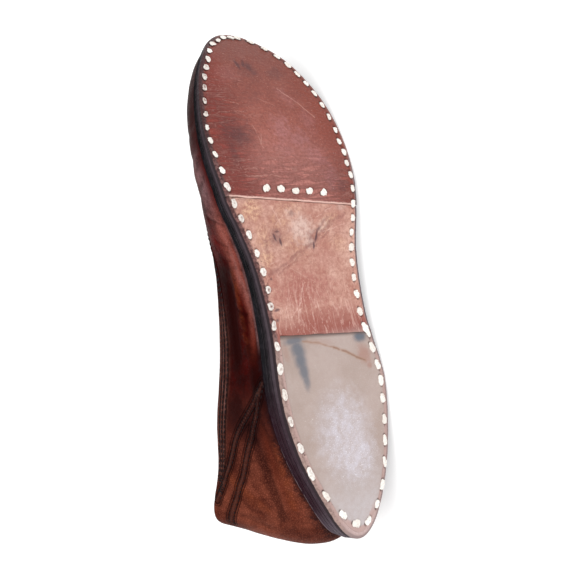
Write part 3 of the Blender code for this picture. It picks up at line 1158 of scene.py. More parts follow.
# %% Feed an input, add a node, start a group
def feed(socket, value):
    """Link a value to an input, or set a number, place or colour on it."""
    if isinstance(value, Value):
        socket.id_data.links.new(value.socket, socket)
    elif socket.type == "RGBA":
        socket.default_value = (*value, 1)
    else:
        socket.default_value = value


def add_node(tree, kind, inputs, **settings):
    """A new node with its settings and inputs. All its outputs come back."""
    node = tree.nodes.new("ShaderNode" + kind)
    for name, setting in settings.items():
        setattr(node, name, setting)
    for key, value in inputs.items():
        feed(node.inputs[key], value)
    return [Value(output) if output.type == "VALUE" else Place(output) for output in node.outputs]


def most(*values):
    return functools.reduce(lambda a, b: b.math("MAXIMUM", a, b), values)


PLACES = ("Place", "Centre", "Reach", "Start", "End", "Run")


def new_group(name, inputs, outputs):
    """A node group, what it is given, and the inputs of its end; those in PLACES are vectors."""
    tree = bpy.data.node_groups.new(name, "ShaderNodeTree")
    for label in inputs.split():
        kind = "NodeSocketVector" if label in PLACES else "NodeSocketFloat"
        tree.interface.new_socket(label, in_out="INPUT", socket_type=kind)
    for label in outputs.split():
        tree.interface.new_socket(label, in_out="OUTPUT", socket_type="NodeSocketFloat")
    given = tree.nodes.new("NodeGroupInput").outputs
    values = [Place(given[label]) if label in PLACES else Value(given[label])
              for label in inputs.split()]
    return tree, values, tree.nodes.new("NodeGroupOutput").inputs


# %% Drifting colour: slow and quick changes of one value
drift, (place, size, seed), result = new_group("drift", "Place Size Seed", "Slow Quick")
scaled = place.scale(1 / size) + seed.node("CombineXYZ", {0: seed, 1: seed, 2: seed})
feed(result["Slow"], scaled.noise(1, 4, 0.55, 0.4).band(0.32, 0.68))
feed(result["Quick"], scaled.noise(0.22, 5, 0.6, 0.6).band(0.30, 0.70))

# %% A soft stain: an ellipse with a broken outline
stain, (place, centre_at, reach, turn, raggedness), result = new_group(
    "stain", "Place Centre Reach Turn Raggedness", "Mask")
turned = place.node("VectorRotate", {"Vector": place - centre_at, "Angle": turn},
                    rotation_type="Z_AXIS")
ragged = (place.noise(4, 4, 0.65) - 0.5) * raggedness
feed(result["Mask"], ((turned / reach).length() + ragged).band(1.1, 0.25))

# %% A line: a scratch, crease or crack between two places
line, (place, start, end, width, wander), result = new_group(
    "line", "Place Start End Width Wander", "Mask")
from_start = place + (place.noise(1 / 0.22, 3, output=1) - (0.5, 0.5, 0.5)).scale(wander) - start
whole = end - start
share = whole.node("Math", {0: from_start.dot(whole), 1: whole.dot(whole)}, operation="DIVIDE",
                   use_clamp=True)
away = (from_start - whole.scale(share)).length()
feed(result["Mask"], away.band(width, 0) * place.noise(5).band(0.28, 0.5, 0.35, 1))

# %% Leather grain: pebbles parted by fine valleys
grain, (place, size), result = new_group("leather_grain", "Place Size", "Height Valley")
scale = 1 / size
warped = place + place.noise(2, output=1) * (0.9, 0.9, 0.9)
pebble = place.node("TexVoronoi", {"Vector": warped, "Scale": scale},
                    feature="DISTANCE_TO_EDGE").band(0, 0.28)
fine = place.node("TexNoise", {"Vector": place, "Scale": scale * 2.3, "Detail": 4})
feed(result["Height"], pebble * 0.7 + fine * 0.6)
feed(result["Valley"], 1 - pebble)

# %% Wrinkles: worn ripples that run one way, and the pale lines on their tops
wrinkle, (place, size, run), result = new_group("wrinkles", "Place Size Run", "Height Line")
ripple = place.node("TexNoise", {"Vector": place * run, "Scale": 1 / size, "Detail": 3,
                                 "Distortion": 0.9})
ridge = ripple.math("ABSOLUTE", ripple * 2 - 1)
feed(result["Height"], ridge.band(0, 0.35))
feed(result["Line"], ridge.band(0.055, 0))
print("node groups:", ", ".join(sorted(group.name for group in bpy.data.node_groups)))


# %% A material in the making
class Finish:
    """A material in the making: one colour, and the layers that go over it."""

    def __init__(self, name):
        self.material = bpy.data.materials.new(name)
        self.material.use_nodes = True
        self.tree = self.material.node_tree
        self.shader = self.tree.nodes["Principled BSDF"].inputs

    def notes(self, names):
        """What the piece's points carry: a distance in millimetres, or a share."""
        return [add_node(self.tree, "Attribute", {}, attribute_name=name)[2]
                for name in names.split()]

    def shoe_place(self):
        return add_node(self.tree, "Attribute", {}, attribute_name="shoe")[1]

    def over(self, mask, shade):
        self.colour = mask.mix(self.colour, shade)

    def done(self, roughness, height, gloss=0.3, coat=0):
        """Feed the shader; height is in millimetres and gloss is the specular level."""
        bump = add_node(self.tree, "Bump", {"Strength": 1, "Distance": MM, "Height": height})[0]
        linked = {"Base Color": self.colour, "Roughness": roughness, "Normal": bump,
                  "Coat Weight": coat, "Specular IOR Level": gloss, "Coat Roughness": 0.3}
        for name, value in linked.items():
            feed(self.shader[name], value)
        return self.material


# %% Marks on the leather
def stains(flat, marks, raggedness=1):
    """Soft stains, each (x, y, length, breadth, turn, strength)."""
    masks = [flat.through(stain, Centre=(x, y, 0), Reach=(length, breadth, 1),
                          Turn=math.radians(turn), Raggedness=raggedness)[0] * strength
             for x, y, length, breadth, turn, strength in marks]
    return most(0, *masks)


def lines(flat, marks):
    """Fine lines, each (width, wander, strength, place, place, and so on)."""
    masks = [flat.through(line, Start=(*a, 0), End=(*b, 0), Width=width, Wander=wander)[0] * much
             for width, wander, much, *places in marks for a, b in zip(places, places[1:])]
    return most(0, *masks)

# %% [markdown]
# ## The tread leathers' finishes
#
# The tread is leather that has been walked on. The forepart is dyed red brown and rubbed, the
# waist is undyed and stained, and the patch is buffed grey. An image could hold such stains, but
# it would blur from close by. So each stain, crease and scratch is a row of numbers, and a node
# group lays it at its place.

# %% What the tread leathers share: their notes, and the dye that laps over their edge
def sole_finish(name):
    """A finish for a tread leather, its place, that place in the plane, x, y and the notes."""
    finish = Finish(name)
    place = finish.shoe_place()
    flat = place * (1, 1, 0)
    return finish, place, flat, flat.channels()[:2], finish.notes("edge hole join depth")


DYE, PALE_RIM, OUTER_LINE = (0.030, 0.018, 0.022), (0.50, 0.375, 0.350), (0.060, 0.045, 0.060)
LAP_SOOT, LAP_RED, LAP_HEEL = (0.050, 0.020, 0.022), (0.205, 0.098, 0.092), (0.43, 0.30, 0.265)


def cut_edge(finish, place, edge, depth, start, end):
    """The dye covers the edge of the stack, and laps over the tread on the inner side."""
    x, y, _ = place.channels()
    ragged = (place.noise(2.4, 4, 0.65) - 0.5) * 1.4
    inner = x.band(4, 14)
    smeared = (place.noise(1.5, 4, 0.7) - 0.5) * 3
    lap = (edge + smeared).band(y.band(40, 90, 1.4, 2.2), 1.1)
    patchy = place.noise(1.9, 4, 0.7).band(0.38, 0.62)
    lap_colour = (patchy - y.band(186, 202, 0, 0.7)).mix(LAP_SOOT, LAP_RED)
    at_heel = y.band(112, 90) * (0.6 + patchy * 0.4)
    finish.over(lap * inner * 0.92, at_heel.mix(lap_colour, LAP_HEEL))
    worn = (edge + ragged).band(2.4, 0.6) * (1 - inner)
    finish.over(worn * y.band(215, 165, 0.25, 0.75), PALE_RIM)
    bare = (edge + ragged * 0.35).band(1.8, 1.1) * (1 - inner)
    finish.over(bare * y.band(205, 165, 0, 0.85) * y.band(80, 112, 0.5, 1), OUTER_LINE)
    finish.over((depth + ragged).band(start, end) * edge.band(2.8, 1.8), DYE)


# %% The forepart leather: its smudges, bloom and scratches
FOREPART_SMUDGES = (
    (9.5, 246, 1.5, 4.2, 10, 0.9), (5.5, 247, 1.6, 4.4, -12, 0.9), (2.5, 245, 3.8, 4.4, 0, 0.85),
    (1, 242, 3.6, 2, 20, 0.6), (4, 243, 10, 7, 0, 0.3), (27, 204, 8, 6, -20, 0.75),
    (27, 206, 14, 10, -10, 0.42), (19, 211, 4, 2.5, 60, 0.4), (33, 196, 3, 12, 0, 0.45),
    (-14, 243, 9, 5, 20, 0.4), (28, 201, 4, 3, 0, 0.5), (-30, 176, 6, 5, 0, 0.35),
    (8, 226, 9, 4, 30, 0.2),
)
FOREPART_BLOOM = (
    (-2, 209, 8, 9, 0, 0.8), (-11, 203, 9, 7, 20, 0.7), (0, 197, 8, 6, 0, 0.5),
    (-17, 195, 8, 6, 0, 0.6), (-24, 181, 7, 9, 0, 0.8), (-20, 192, 6, 6, 0, 0.6),
    (-13, 228, 9, 5, -35, 0.35), (-22, 214, 7, 8, 0, 0.45), (18, 240, 10, 6, 20, 0.25),
)
FOREPART_SCRATCHES = (
    (0.55, 1.5, 0.75, (-10, 233), (-20, 224), (-28, 216)), (0.5, 3, 0.5, (16, 210), (14, 197)),
    (0.4, 2, 0.5, (12, 206), (15, 199)), (0.5, 5, 0.55, (30, 183), (8, 182)),
    (0.45, 5, 0.5, (32, 187), (18, 186)), (0.4, 3, 0.45, (20, 222), (31, 224)),
    (0.4, 4, 0.4, (16, 218), (33, 217)), (0.4, 4, 0.45, (33, 190), (24, 191)),
    (0.4, 5, 0.4, (5, 186), (-12, 184)), (0.35, 3, 0.35, (10, 236), (24, 238)),
    (0.35, 2, 0.35, (-4, 222), (6, 226)),
)

# %% Its ground: red brown, paler towards the waist
finish, place, flat, (x, y), (edge, hole, join, depth) = sole_finish("forepart_leather")
over = finish.over
slow, quick = flat.through(drift, Size=22, Seed=1.3)
finish.colour = slow.mix((0.225, 0.052, 0.035), (0.315, 0.089, 0.063))
over(quick * 0.5, (0.42, 0.14, 0.108))
over(y.band(216, 182) * 0.8, (0.49, 0.198, 0.17))
over(y.band(212, 258) * 0.75, (0.17, 0.04, 0.027))
over(x.band(12, 36) * 0.8, (0.2, 0.012, 0.006))
over(x.band(-12, -38) * 0.75, (0.215, 0.03, 0.012))
bloom = stains(flat, FOREPART_BLOOM, 2.4)
over(bloom * 0.42, (0.5, 0.245, 0.265))
over(flat.noise(1.7, 5, 0.72).band(0.38, 0.64) * 0.5, (0.165, 0.042, 0.032))
over(flat.noise(1.2, 5, 0.75).band(0.5, 0.7) * 0.28, (0.56, 0.25, 0.2))

# %% Its fine cross wrinkles, smudges and scratches
wrinkled = 0.2 + most(y.band(206, 178), x.band(6, 34) * y.band(244, 222)) * 0.8
ripples, tops = flat.through(wrinkle, Size=2.3, Run=(0.16, 1, 0))
over(tops * wrinkled * slow.band(0, 0.9, 0.35, 1) * 0.6, (0.6, 0.31, 0.26))
over((1 - ripples) * wrinkled * 0.55, (0.12, 0.03, 0.024))
over(stains(flat, FOREPART_SMUDGES, 1.6) * 0.8, (0.075, 0.03, 0.034))
scratches = lines(flat, FOREPART_SCRATCHES)
over(scratches * 0.8, (0.6, 0.31, 0.25))
over(flat.noise(0.8).band(0.68, 0.75) * 0.6, (0.66, 0.4, 0.36))

# %% Its edge, holes and grain
over(edge.band(3.4, 0.4) * 0.5, (0.13, 0.045, 0.04))
# Painted shade round each awl hole.
over(hole.band(1.7, 0.3) * 0.85, (0.035, 0.015, 0.013))
torn = (join + flat.noise(1.2, 3) * 0.8).band(1.5, 0.9)
over(torn * 0.9, (0.76, 0.5, 0.43))
cut_edge(finish, place, edge, depth, 0.8, 1.5)
pebbles, _ = place.through(grain, Size=1.15)
height = pebbles * 0.06 + ripples * wrinkled * 0.34 + scratches * -0.1 + quick * 0.07
material = finish.done(0.5 + quick * 0.14 + bloom * 0.1, height, gloss=0.25)
finish_piece(forepart, "forepart leather", material, "outsole_forepart")


# %% The waist leather: its stains
WAIST_GOLD = (
    (31, 166, 8, 7, 20, 0.8), (26, 152, 6, 10, 0, 0.5), (26, 142, 6, 6, 0, 0.65),
    (10, 166, 14, 5, 0, 0.35), (-16, 158, 12, 4, 30, 0.45), (16, 159, 10, 6, 0, 0.45),
    (8, 148, 14, 8, 0, 0.35), (-22, 146, 8, 6, 0, 0.35),
)
WAIST_PALE = (
    (2, 155, 10, 9, 10, 0.85), (-2, 149, 5, 5, 0, 0.7), (8, 163, 5, 4, 0, 0.4),
    (-12, 156, 7, 3, 35, 0.5), (-27, 165, 5, 2.5, 10, 0.5),
)
WAIST_ROSE = (
    (6, 125, 28, 14, 0, 0.75), (-12, 140, 12, 10, 0, 0.4), (-4, 111, 24, 7, 0, 0.55),
    (18, 136, 10, 8, 0, 0.3), (2, 170, 34, 5, 3, 0.6), (-24, 160, 8, 9, 0, 0.4),
)
WAIST_HALO = ((18.5, 152, 9, 9, 0, 0.9), (10, 146, 10, 4, 20, 0.5))
WAIST_DARK = (
    (18.5, 152, 4.5, 5, 20, 0.4), (19.5, 152, 1, 3.2, 25, 0.95), (16.2, 149.5, 0.9, 3.4, 15, 0.95),
    (17.5, 154.5, 2.2, 0.9, 0, 0.8), (-7, 150.5, 1, 4.8, -22, 1), (-5, 146.5, 0.9, 3.4, -8, 1),
    (-9.5, 154.5, 2.6, 1, 35, 0.7), (-4, 150, 5, 5, 0, 0.25), (7, 163, 2.4, 2, 0, 0.4),
    (30, 172, 16, 2, 4, 0.25), (25, 147, 2, 6, 0, 0.2), (24.5, 117, 2.4, 1, 10, 0.9),
    (26.5, 127, 1, 1.6, 0, 0.8), (25.5, 112, 1.2, 1.2, 0, 0.8), (25, 132, 1, 1, 0, 0.7),
)

# %% Its creases and scratches
WAIST_CREASES = (
    (1.6, 4.5, 0.8, (26, 134), (12, 140), (4, 144), (-5, 148), (-17, 157), (-29, 161)),
    (1.1, 4, 0.6, (20, 134), (9, 139), (1, 144)), (1.2, 4, 0.7, (-3, 150), (-10, 156), (-20, 161)),
    (0.8, 3, 0.6, (8, 141), (0, 147)), (0.9, 3, 0.6, (-6, 146), (-16, 153)),
    (0.6, 2, 0.4, (27, 131), (20, 137)), (0.5, 1, 0.5, (-30, 166), (-22, 168)),
)
WAIST_FINE_CREASES = (
    (0.6, 2.5, 0.45, (-8, 157), (-16, 164), (-27, 168)),
    (0.6, 2.5, 0.45, (-10, 151), (-20, 157), (-32, 158)),
    (0.6, 2.5, 0.4, (-13, 146), (-22, 152), (-31, 151)), (0.5, 2, 0.4, (-16, 160), (-24, 155)),
    (0.5, 2, 0.35, (-5, 160), (-9, 168)), (0.5, 2, 0.35, (2, 144), (-2, 137)),
)
WAIST_SCRATCHES = (
    (0.5, 3, 0.8, (15, 105), (6, 128)), (0.45, 2, 0.6, (17, 112), (9, 119)),
    (0.45, 2.5, 0.6, (22, 107), (17, 122)), (0.4, 2, 0.5, (11, 104), (10, 122)),
    (0.4, 3, 0.45, (3, 106), (3, 125)), (0.4, 3, 0.4, (-3, 108), (1, 130)),
    (0.4, 2, 0.5, (26, 106), (22, 118)), (0.4, 1, 0.5, (10, 165), (18, 158)),
    (0.4, 1, 0.6, (19, 167), (15, 158)), (0.4, 2, 0.5, (-8, 160), (-22, 166)),
    (0.4, 2, 0.5, (-12, 153), (-28, 156)), (0.4, 2, 0.4, (13, 143), (24, 139)),
    (0.35, 2, 0.35, (12, 136), (-2, 128)),
)

# %% Its ground: undyed tan, stained yellow, rose and brown
finish, place, flat, (x, y), (edge, hole, _, depth) = sole_finish("waist_leather")
over = finish.over
slow, _ = flat.through(drift, Size=16, Seed=4.1)
finish.colour = slow.mix((0.47, 0.225, 0.175), (0.66, 0.405, 0.33))
over(stains(flat, WAIST_ROSE, 1.3) * 0.92, (0.37, 0.118, 0.098))
gold = stains(flat, WAIST_GOLD, 1.8)
flaked = flat.noise(2, 5, 0.72).band(0.43, 0.58)
over(gold * (1 - flaked) * 0.8, (0.38, 0.16, 0.115))
over(gold * (0.05 + flaked * 0.75), (0.8, 0.51, 0.31))
over(stains(flat, WAIST_HALO, 1.5) * 0.55, (0.38, 0.185, 0.15))
over(stains(flat, WAIST_PALE, 1.6) * 0.85, (0.72, 0.54, 0.48))
mottle = flat.noise(2.3, 6, 0.75).band(0.42, 0.62)
over(mottle * 0.5, (0.33, 0.125, 0.095))
over(flat.noise(1.4, 5, 0.75).band(0.5, 0.68) * 0.36, (0.78, 0.52, 0.42))
over(y.band(118, 103) * 0.85, (0.29, 0.08, 0.064))

# %% Its fibres, creases and dark marks
fibres, pale_fibres = flat.through(wrinkle, Size=3, Run=(1, 0.16, 0))
over(pale_fibres * y.band(142, 116) * 0.45, (0.76, 0.5, 0.43))
creases = lines(flat, WAIST_CREASES)
over(creases * 0.75, (0.27, 0.115, 0.1))
over(lines(flat, WAIST_FINE_CREASES) * 0.8, (0.27, 0.115, 0.1))
over(lines(flat, WAIST_SCRATCHES) * 0.7, (0.82, 0.57, 0.5))
over(stains(flat, WAIST_DARK, 1.5) * 0.9, (0.1, 0.05, 0.06))
over(y.band(104, 96) * 0.8, (0.5, 0.37, 0.34))
over(y.band(16, 5) * 0.5, (0.6, 0.47, 0.46))

# %% Its edge, pits, holes and nap
over(edge.band(2.6, 0.3) * 0.45, (0.24, 0.115, 0.1))
pits = flat.noise(1.1, 1).band(x.band(16, 28, 0.7, 0.62), 0.76)
over(pits * edge.band(9, 3) * 0.85, (0.05, 0.025, 0.02))
# Painted shade round each awl hole.
over(hole.band(1.6, 0.3) * 0.85, (0.05, 0.022, 0.018))
cut_edge(finish, place, edge, depth, 1.3, 2)
nap = place.noise(0.8, 5, 0.7)
height = nap * 0.18 + creases * -0.5 + fibres * 0.06 + mottle * -0.08
material = finish.done(0.72 + mottle * 0.1, height, gloss=0.2)
finish_piece(waist, "waist leather", material, "outsole_waist")


# %% The heel patch: its smudges, vein, and pale clouds that are partly a painted reflection
PATCH_BLUE = (
    (18, 101, 8.5, 3, 0, 0.85), (17.2, 96, 5.6, 8, 4, 0.9), (17.2, 91, 4.8, 8, 0, 0.9),
    (17, 86, 4, 8, -2, 0.85), (16.9, 82, 3, 7, -4, 0.75), (-24.5, 97, 6, 4, 0, 1),
)
PATCH_BROWN = (
    (-24, 87.5, 6, 7, 20, 0.95), (-25.5, 81.5, 2.4, 2.4, 0, 0.8), (25, 96, 2.6, 6, 0, 0.5),
    (2, 98, 12, 2.5, -10, 0.3),
)
PATCH_VEIN = (
    (1.1, 1.2, 0.8, (13, 100), (3, 97.5), (-5, 94)),
    (1.5, 1.2, 1, (-5, 94), (-12, 91), (-18, 87), (-24, 84)),
)
PATCH_CLOUDS_AND_REFLECTION = (
    (0, 51, 22, 28, 0, 0.9), (-4, 40, 18, 18, 0, 1), (4, 66, 14, 12, 0, 0.3),
)

# %% Its ground: buffed grey brown under pale dust, and clouds partly a painted reflection
finish, place, flat, (_, y), (edge, hole, join, _) = sole_finish("patch_leather")
over = finish.over
slow, quick = flat.through(drift, Size=20, Seed=7.7)
finish.colour = slow.mix((0.385, 0.295, 0.258), (0.445, 0.352, 0.32))
# Pale clouds: buffed leather and a painted reflection; the pale dust is strongest inside them.
clouds_and_reflection = stains(flat, PATCH_CLOUDS_AND_REFLECTION, 0.8)
over(clouds_and_reflection * quick.band(0, 0.9, 0.55, 1), (0.575, 0.535, 0.585))
over(y.band(42, 12) * 0.75, (0.53, 0.487, 0.502))
over(flat.noise(3.5, 5, 0.7).band(0.4, 0.64) * 0.3, (0.4, 0.3, 0.265))
dust = flat.noise(0.6, 3, 0.75).band(0.57, 0.66)
over(dust * (0.15 + clouds_and_reflection * 0.85) * 0.85, (0.94, 0.93, 0.97))
flecks = (flat * (1, 0.55, 0)).noise(0.9, 2, 0.6).band(0.73, 0.77)
over(flecks * 0.8, (0.96, 0.93, 0.88))

# %% Its smudges, vein, edge and grain
over(stains(flat, PATCH_BROWN) * 0.75, (0.36, 0.19, 0.15))
over(stains(flat, PATCH_BLUE, 0.5) * 0.86, (0.08, 0.11, 0.15))
vein = lines(flat, PATCH_VEIN)
over(vein * 0.8, (0.36, 0.215, 0.15))
over(vein.band(0.55, 0.95) * 0.5, (0.22, 0.115, 0.075))
over(edge.band(6, 3.6) * 0.3, (0.42, 0.32, 0.29))
frayed = edge + (flat.noise(2.5, 4, 0.65) - 0.5) * 3
over(frayed.band(6.4, 5.4) * y.band(17, 9) * 0.8, (0.47, 0.3, 0.27))
# Painted shade under the waist leather's lip, along the patch's front.
over(join.band(2.6, 0.3) * y.band(90, 97) * 0.85, (0.12, 0.08, 0.07))
# Painted shade round each awl hole.
over(hole.band(1.5, 0.3) * 0.7, (0.08, 0.05, 0.04))
pebbles, _ = place.through(grain, Size=0.9)
height = pebbles * 0.035 + vein * -0.12 + dust * 0.02 + quick * 0.06
material = finish.done(0.36 + quick * 0.12 + dust * 0.15, height)
finish_piece(patch, "patch leather", material, "heel_patch")

# %% [markdown]
# ## The dyed edges' finish
#
# The cut edges of the stack and the rand are inked blue black and burnished. Wear turns the ink
# purple brown, most of all at the heel. Each point of the strips carries how high it lies in the
# stack, so grooves and glints follow the leathers up the toe's spring.

# %% The dyed edges: blue black, burnished, rubbed to purple brown, with a painted sheen
STACK_GROOVES = (0.285, 0.462, 0.634, 0.788)


def edge_finish(name, rub_and_sheen, low, high):
    finish = Finish(name)
    over = finish.over
    place = finish.shoe_place()
    _, along, _ = place.channels()
    [up] = finish.notes("high")
    slow, quick = place.through(drift, Size=14, Seed=2.6)
    finish.colour = slow.mix(low, high)
    lengthwise = (place * (0.25, 0.12, 2.2)).noise(1, 4, 0.65)
    over(along.band(92, 58) * 0.8, (0.03, 0.008, 0.015))
    # The lower part is paler: ink rubbed away, and a painted sheen of the burnish.
    lower_rub_and_sheen = (up + lengthwise * 0.22).band(0.7, 0.44)
    over(lower_rub_and_sheen * 0.85, along.band(92, 58).mix((0.084, 0.062, 0.074), (0.054, 0.032, 0.043)))
    over(along.band(22, 6) * 0.6, (0.12, 0.09, 0.115))
    # Pale streaks: rubbed ink and a painted sheen.
    rubbed = (lengthwise + quick * 0.35).band(0.62, 0.92)
    over(rubbed * (0.2 + lower_rub_and_sheen * 0.55), rub_and_sheen)
    over(place.noise(1.6, 4, 0.7).band(0.6, 0.72) * lower_rub_and_sheen * 0.35, (0.13, 0.09, 0.105))
    grooves = most(*[up.near(groove, 0.028) for groove in STACK_GROOVES])
    over(grooves * along.band(125, 85, 0.45, 0.85), (0.002, 0.002, 0.003))
    glint = up.near(0.975, 0.035) * along.band(60, 34) * place.noise(3, 3).band(0.38, 0.55)
    over(glint * 0.8, (0.46, 0.36, 0.36))
    height = lengthwise * 0.3 + place.noise(0.9, 3) * 0.12
    return finish.done(0.34 + quick * 0.2, height, gloss=0.07)


stack_finish = edge_finish("stack_edge", rub_and_sheen=(0.090, 0.066, 0.080), low=(0.002, 0.001, 0.002),
                           high=(0.010, 0.007, 0.010))
rand_finish = edge_finish("rand_edge", rub_and_sheen=(0.090, 0.074, 0.090), low=(0.002, 0.002, 0.003),
                          high=(0.009, 0.008, 0.011))
finish_piece(stacked_edge, "dyed edge", stack_finish, "midsole")
finish_piece(rand, "dyed edge", rand_finish, "rand")

# %% [markdown]
# ## The upper's finish
#
# The leather was dyed red and darkened by hand along its seams. It is darker in the hollows of its
# folds, and wear brought an orange back where the shoe bends. The sheet's points carry their
# distance from the collar, the seams and the folds, so each layer lies where the real one does, and
# no mask has to be painted.

# %% The upper leather: antiqued brown at the heel, red from the waist on
finish = Finish("upper_leather")
over = finish.over
place = finish.shoe_place()
_, along, _ = place.channels()
edge, rise, seam, side, fold = finish.notes("edge rise seam side fold")
slow, quick = place.through(drift, Size=17, Seed=5.2)
heel_brown = slow.mix((0.1, 0.021, 0.012), (0.235, 0.06, 0.034))
quarter_brown = slow.mix((0.034, 0.007, 0.006), (0.095, 0.021, 0.014))
waist_red = slow.mix((0.026, 0.001, 0.001), (0.075, 0.003, 0.002))
finish.colour = along.band(28, 66).mix(heel_brown, quarter_brown)
over(along.band(70, 88), waist_red)
over(along.band(132, 150), slow.mix((0.045, 0.003, 0.003), (0.13, 0.012, 0.01)))

# %% A rubbed stripe along the fold over the sole's edge, and painted highlights on and beside it
middle = 3.8 + along.band(122, 145, 0, 3.2) + along.band(116, 98, 0, 2.8) + slow * 1.4
# The stripe is rubbed orange, and partly a painted highlight on the fold's ridge.
stripe_and_highlight = (rise.near(middle, along.band(122, 150, 4.8, 9.2)) * along.band(88, 108)
          * along.band(180, 162))
over(stripe_and_highlight * 0.95, along.band(98, 140).mix((0.165, 0.026, 0.015), (0.38, 0.103, 0.078)))
calm = (1 - stripe_and_highlight * 0.4) * along.band(38, 72, 0.5, 1)
# Painted highlight: a pale sheen along the middle of the stripe.
crown = rise.near(middle, 2.4) * along.near(136, 36)
over(crown * quick.band(0.1, 0.7, 0.3, 0.6), (0.34, 0.145, 0.13))
# Painted highlight: a pale pink sheen on the vamp's side.
over(rise.near(9.5, 8) * along.near(184, 27) * 0.9, (0.3, 0.145, 0.15))
over(rise.band(15, 21) * along.band(166, 178) * along.band(216, 200) * 0.7, (0.15, 0.01, 0.008))

# %% Deep dye in the waist, under the quarter and towards the toe; a painted highlight at the heel
over(rise.band(15, 8) * along.near(82, 24) * 0.9, (0.009, 0.001, 0.001))
over(along.near(66, 17) * rise.near(21, 17) * 0.45, (0.014, 0.003, 0.003))
deep = rise.near(23, 11) * along.band(80, 96) * along.band(160, 140)
over(deep * 0.95, (0.013, 0.001, 0.001))
# Painted highlight: an orange glow low on the heel's side, along the fold.
painted_heel_highlight = rise.near(9.5, 6) * along.band(72, 52) * along.band(6, 22)
over(painted_heel_highlight * 0.6, (0.15, 0.026, 0.012))
toeward = along + (place.noise(9, 4, 0.6) - 0.5) * 46
over(toeward.band(192, 226) * 0.9, (0.028, 0.005, 0.005))

# %% The collar: a painted highlight on its ridges and painted shade in its sunken stitch rows
by_rows = along.band(ROWS_END - 3, ROWS_END + 4)
over(edge.band(13.5, 9.5) * along.band(28, 44) * along.band(134, 114) * 0.8,
     (0.115, 0.045, 0.034))
# Painted highlight on the ridges between the rows, broken into streaks.
ridges = most(*[edge.near(ridge, 1.3) for ridge in TOPLINE_RIDGES])
streaks = (place * (1, 0.16, 1)).noise(1.4, 4, 0.65).band(0.38, 0.6)
over(ridges * by_rows * along.band(134, 114) * streaks * 0.9, (0.2, 0.092, 0.08))
# Painted shade in the sunken stitch rows.
rows = most(*[edge.near(row, 1) for row in TOPLINE_ROWS])
over(rows * by_rows * 0.92, (0.008, 0.003, 0.003))

# %% Seams, creases and folds, a darker band low along the sole's edge, and a painted highlight
over(side.band(4.5, 0.6) * 0.7, (0.01, 0.003, 0.003))
# Darker in the hollows of the folds.
over(fold.band(-0.12, -0.85) * 0.6, (0.022, 0.004, 0.004))
rubbed = (fold.band(0.2, 1) * quick.band(0.1, 0.8, 0.4, 1)
          * most(along.band(62, 46), along.band(96, 112)))
over(rubbed * 0.5, (0.23, 0.05, 0.018))
# Darker low on the upper, along the sole's edge.
ragged_rise = rise + (quick - 0.5) * 2.2
skirting = ragged_rise.band(along.band(96, 120, 4.6, 2.2), along.band(96, 120, 1.2, 0.2))
over(skirting * 0.85, (0.018, 0.008, 0.01))
# Painted highlight: a thin pale line along the upper's lower edge.
painted_edge_highlight = rise.near(2.2, 1.9) * along.band(172, 150) * along.band(96, 106)
over(painted_edge_highlight * 0.75, (0.21, 0.115, 0.115))

# %% Mottle and grain, the frayed edges of the seams, and painted highlights and shade
over(place.noise(6, 5, 0.62).band(0.48, 0.66) * calm * 0.55, (0.018, 0.002, 0.002))
over(place.noise(2.6, 4, 0.65).band(0.5, 0.68) * calm * 0.35, (0.016, 0.002, 0.002))
pebbles, valleys = place.through(grain, Size=1.1)
over(valleys * 0.36, (0.02, 0.004, 0.003))
# Lighter pebble tops at the heel: rubbed grain and a painted highlight.
over(pebbles.band(0.72, 1) * along.band(62, 40) * 0.16, (0.33, 0.105, 0.06))
frayed = seam + (quick - 0.5) * 1.8
over(frayed.band(4.4, 1.4) * 0.62, (0.014, 0.004, 0.004))
broken = quick.band(0.05, 0.5, 0.45, 0.9)
# Dark lines beside the seam's ridge; the inner one is painted shade in its groove.
over(most(seam.near(1.7, 0.5), seam.near(3, 0.4)) * broken, (0.004, 0.001, 0.001))
# Painted highlight on the seam's ridge.
over(seam.band(1, 0.3) * broken * 0.5, (0.12, 0.05, 0.038))
ripples, _ = place.through(wrinkle, Size=5, Run=(0.5, 1, 0.35))
rippled = along.band(96, 140) * along.band(235, 205)
height = pebbles * 0.2 + quick * 0.12 + ripples * rippled * 0.1
polish = most(along.band(150, 172), along.band(30, 10, 0, 0.5)) * 0.1
material = finish.done(0.36 + quick * 0.12 + valleys * 0.12, height, gloss=0.01, coat=polish)
finish_piece(upper, "upper leather", material, "upper")

# %% [markdown]
# ## The lining's and the insole's finish
#
# Inside is tan sheep leather, greyed by feet under the heel and the ball. It is seen only through
# the collar, so a drifting colour, flecks and fine pores are enough.

# %% Lining and insole
def lining_finish(name, pale, dark):
    finish = Finish(name)
    place = finish.shoe_place()
    _, along, _ = place.channels()
    slow, quick = place.through(drift, Size=22, Seed=9.4)
    finish.colour = slow.mix(dark, pale)
    finish.over(most(along.near(40, 42), along.near(190, 44)) * 0.35, (0.1, 0.055, 0.035))
    flecks = place.noise(1.3, 4, 0.7).band(0.55, 0.7)
    finish.over(flecks * 0.25, (0.16, 0.085, 0.05))
    pores, _ = place.through(grain, Size=1)
    return finish.done(0.6 + flecks * 0.15, pores * 0.07 + quick * 0.12)


upper.data.materials[1] = lining_finish("lining", pale=(0.40, 0.23, 0.12), dark=(0.26, 0.13, 0.07))
insole_finish = lining_finish("insole_leather", pale=(0.42, 0.25, 0.14), dark=(0.30, 0.16, 0.09))
finish_piece(insole, "insole leather", insole_finish, "insole")

# %% [markdown]
# ## The thread's finish
#
# The sole is sewn with raw cream thread and the upper with black waxed thread, each twisted from
# two strands. A stitch carries which strand a point is on, a tint of its own and its dirt, so one
# function finishes them all.

# %% Thread
SOIL = (0.22, 0.095, 0.085)


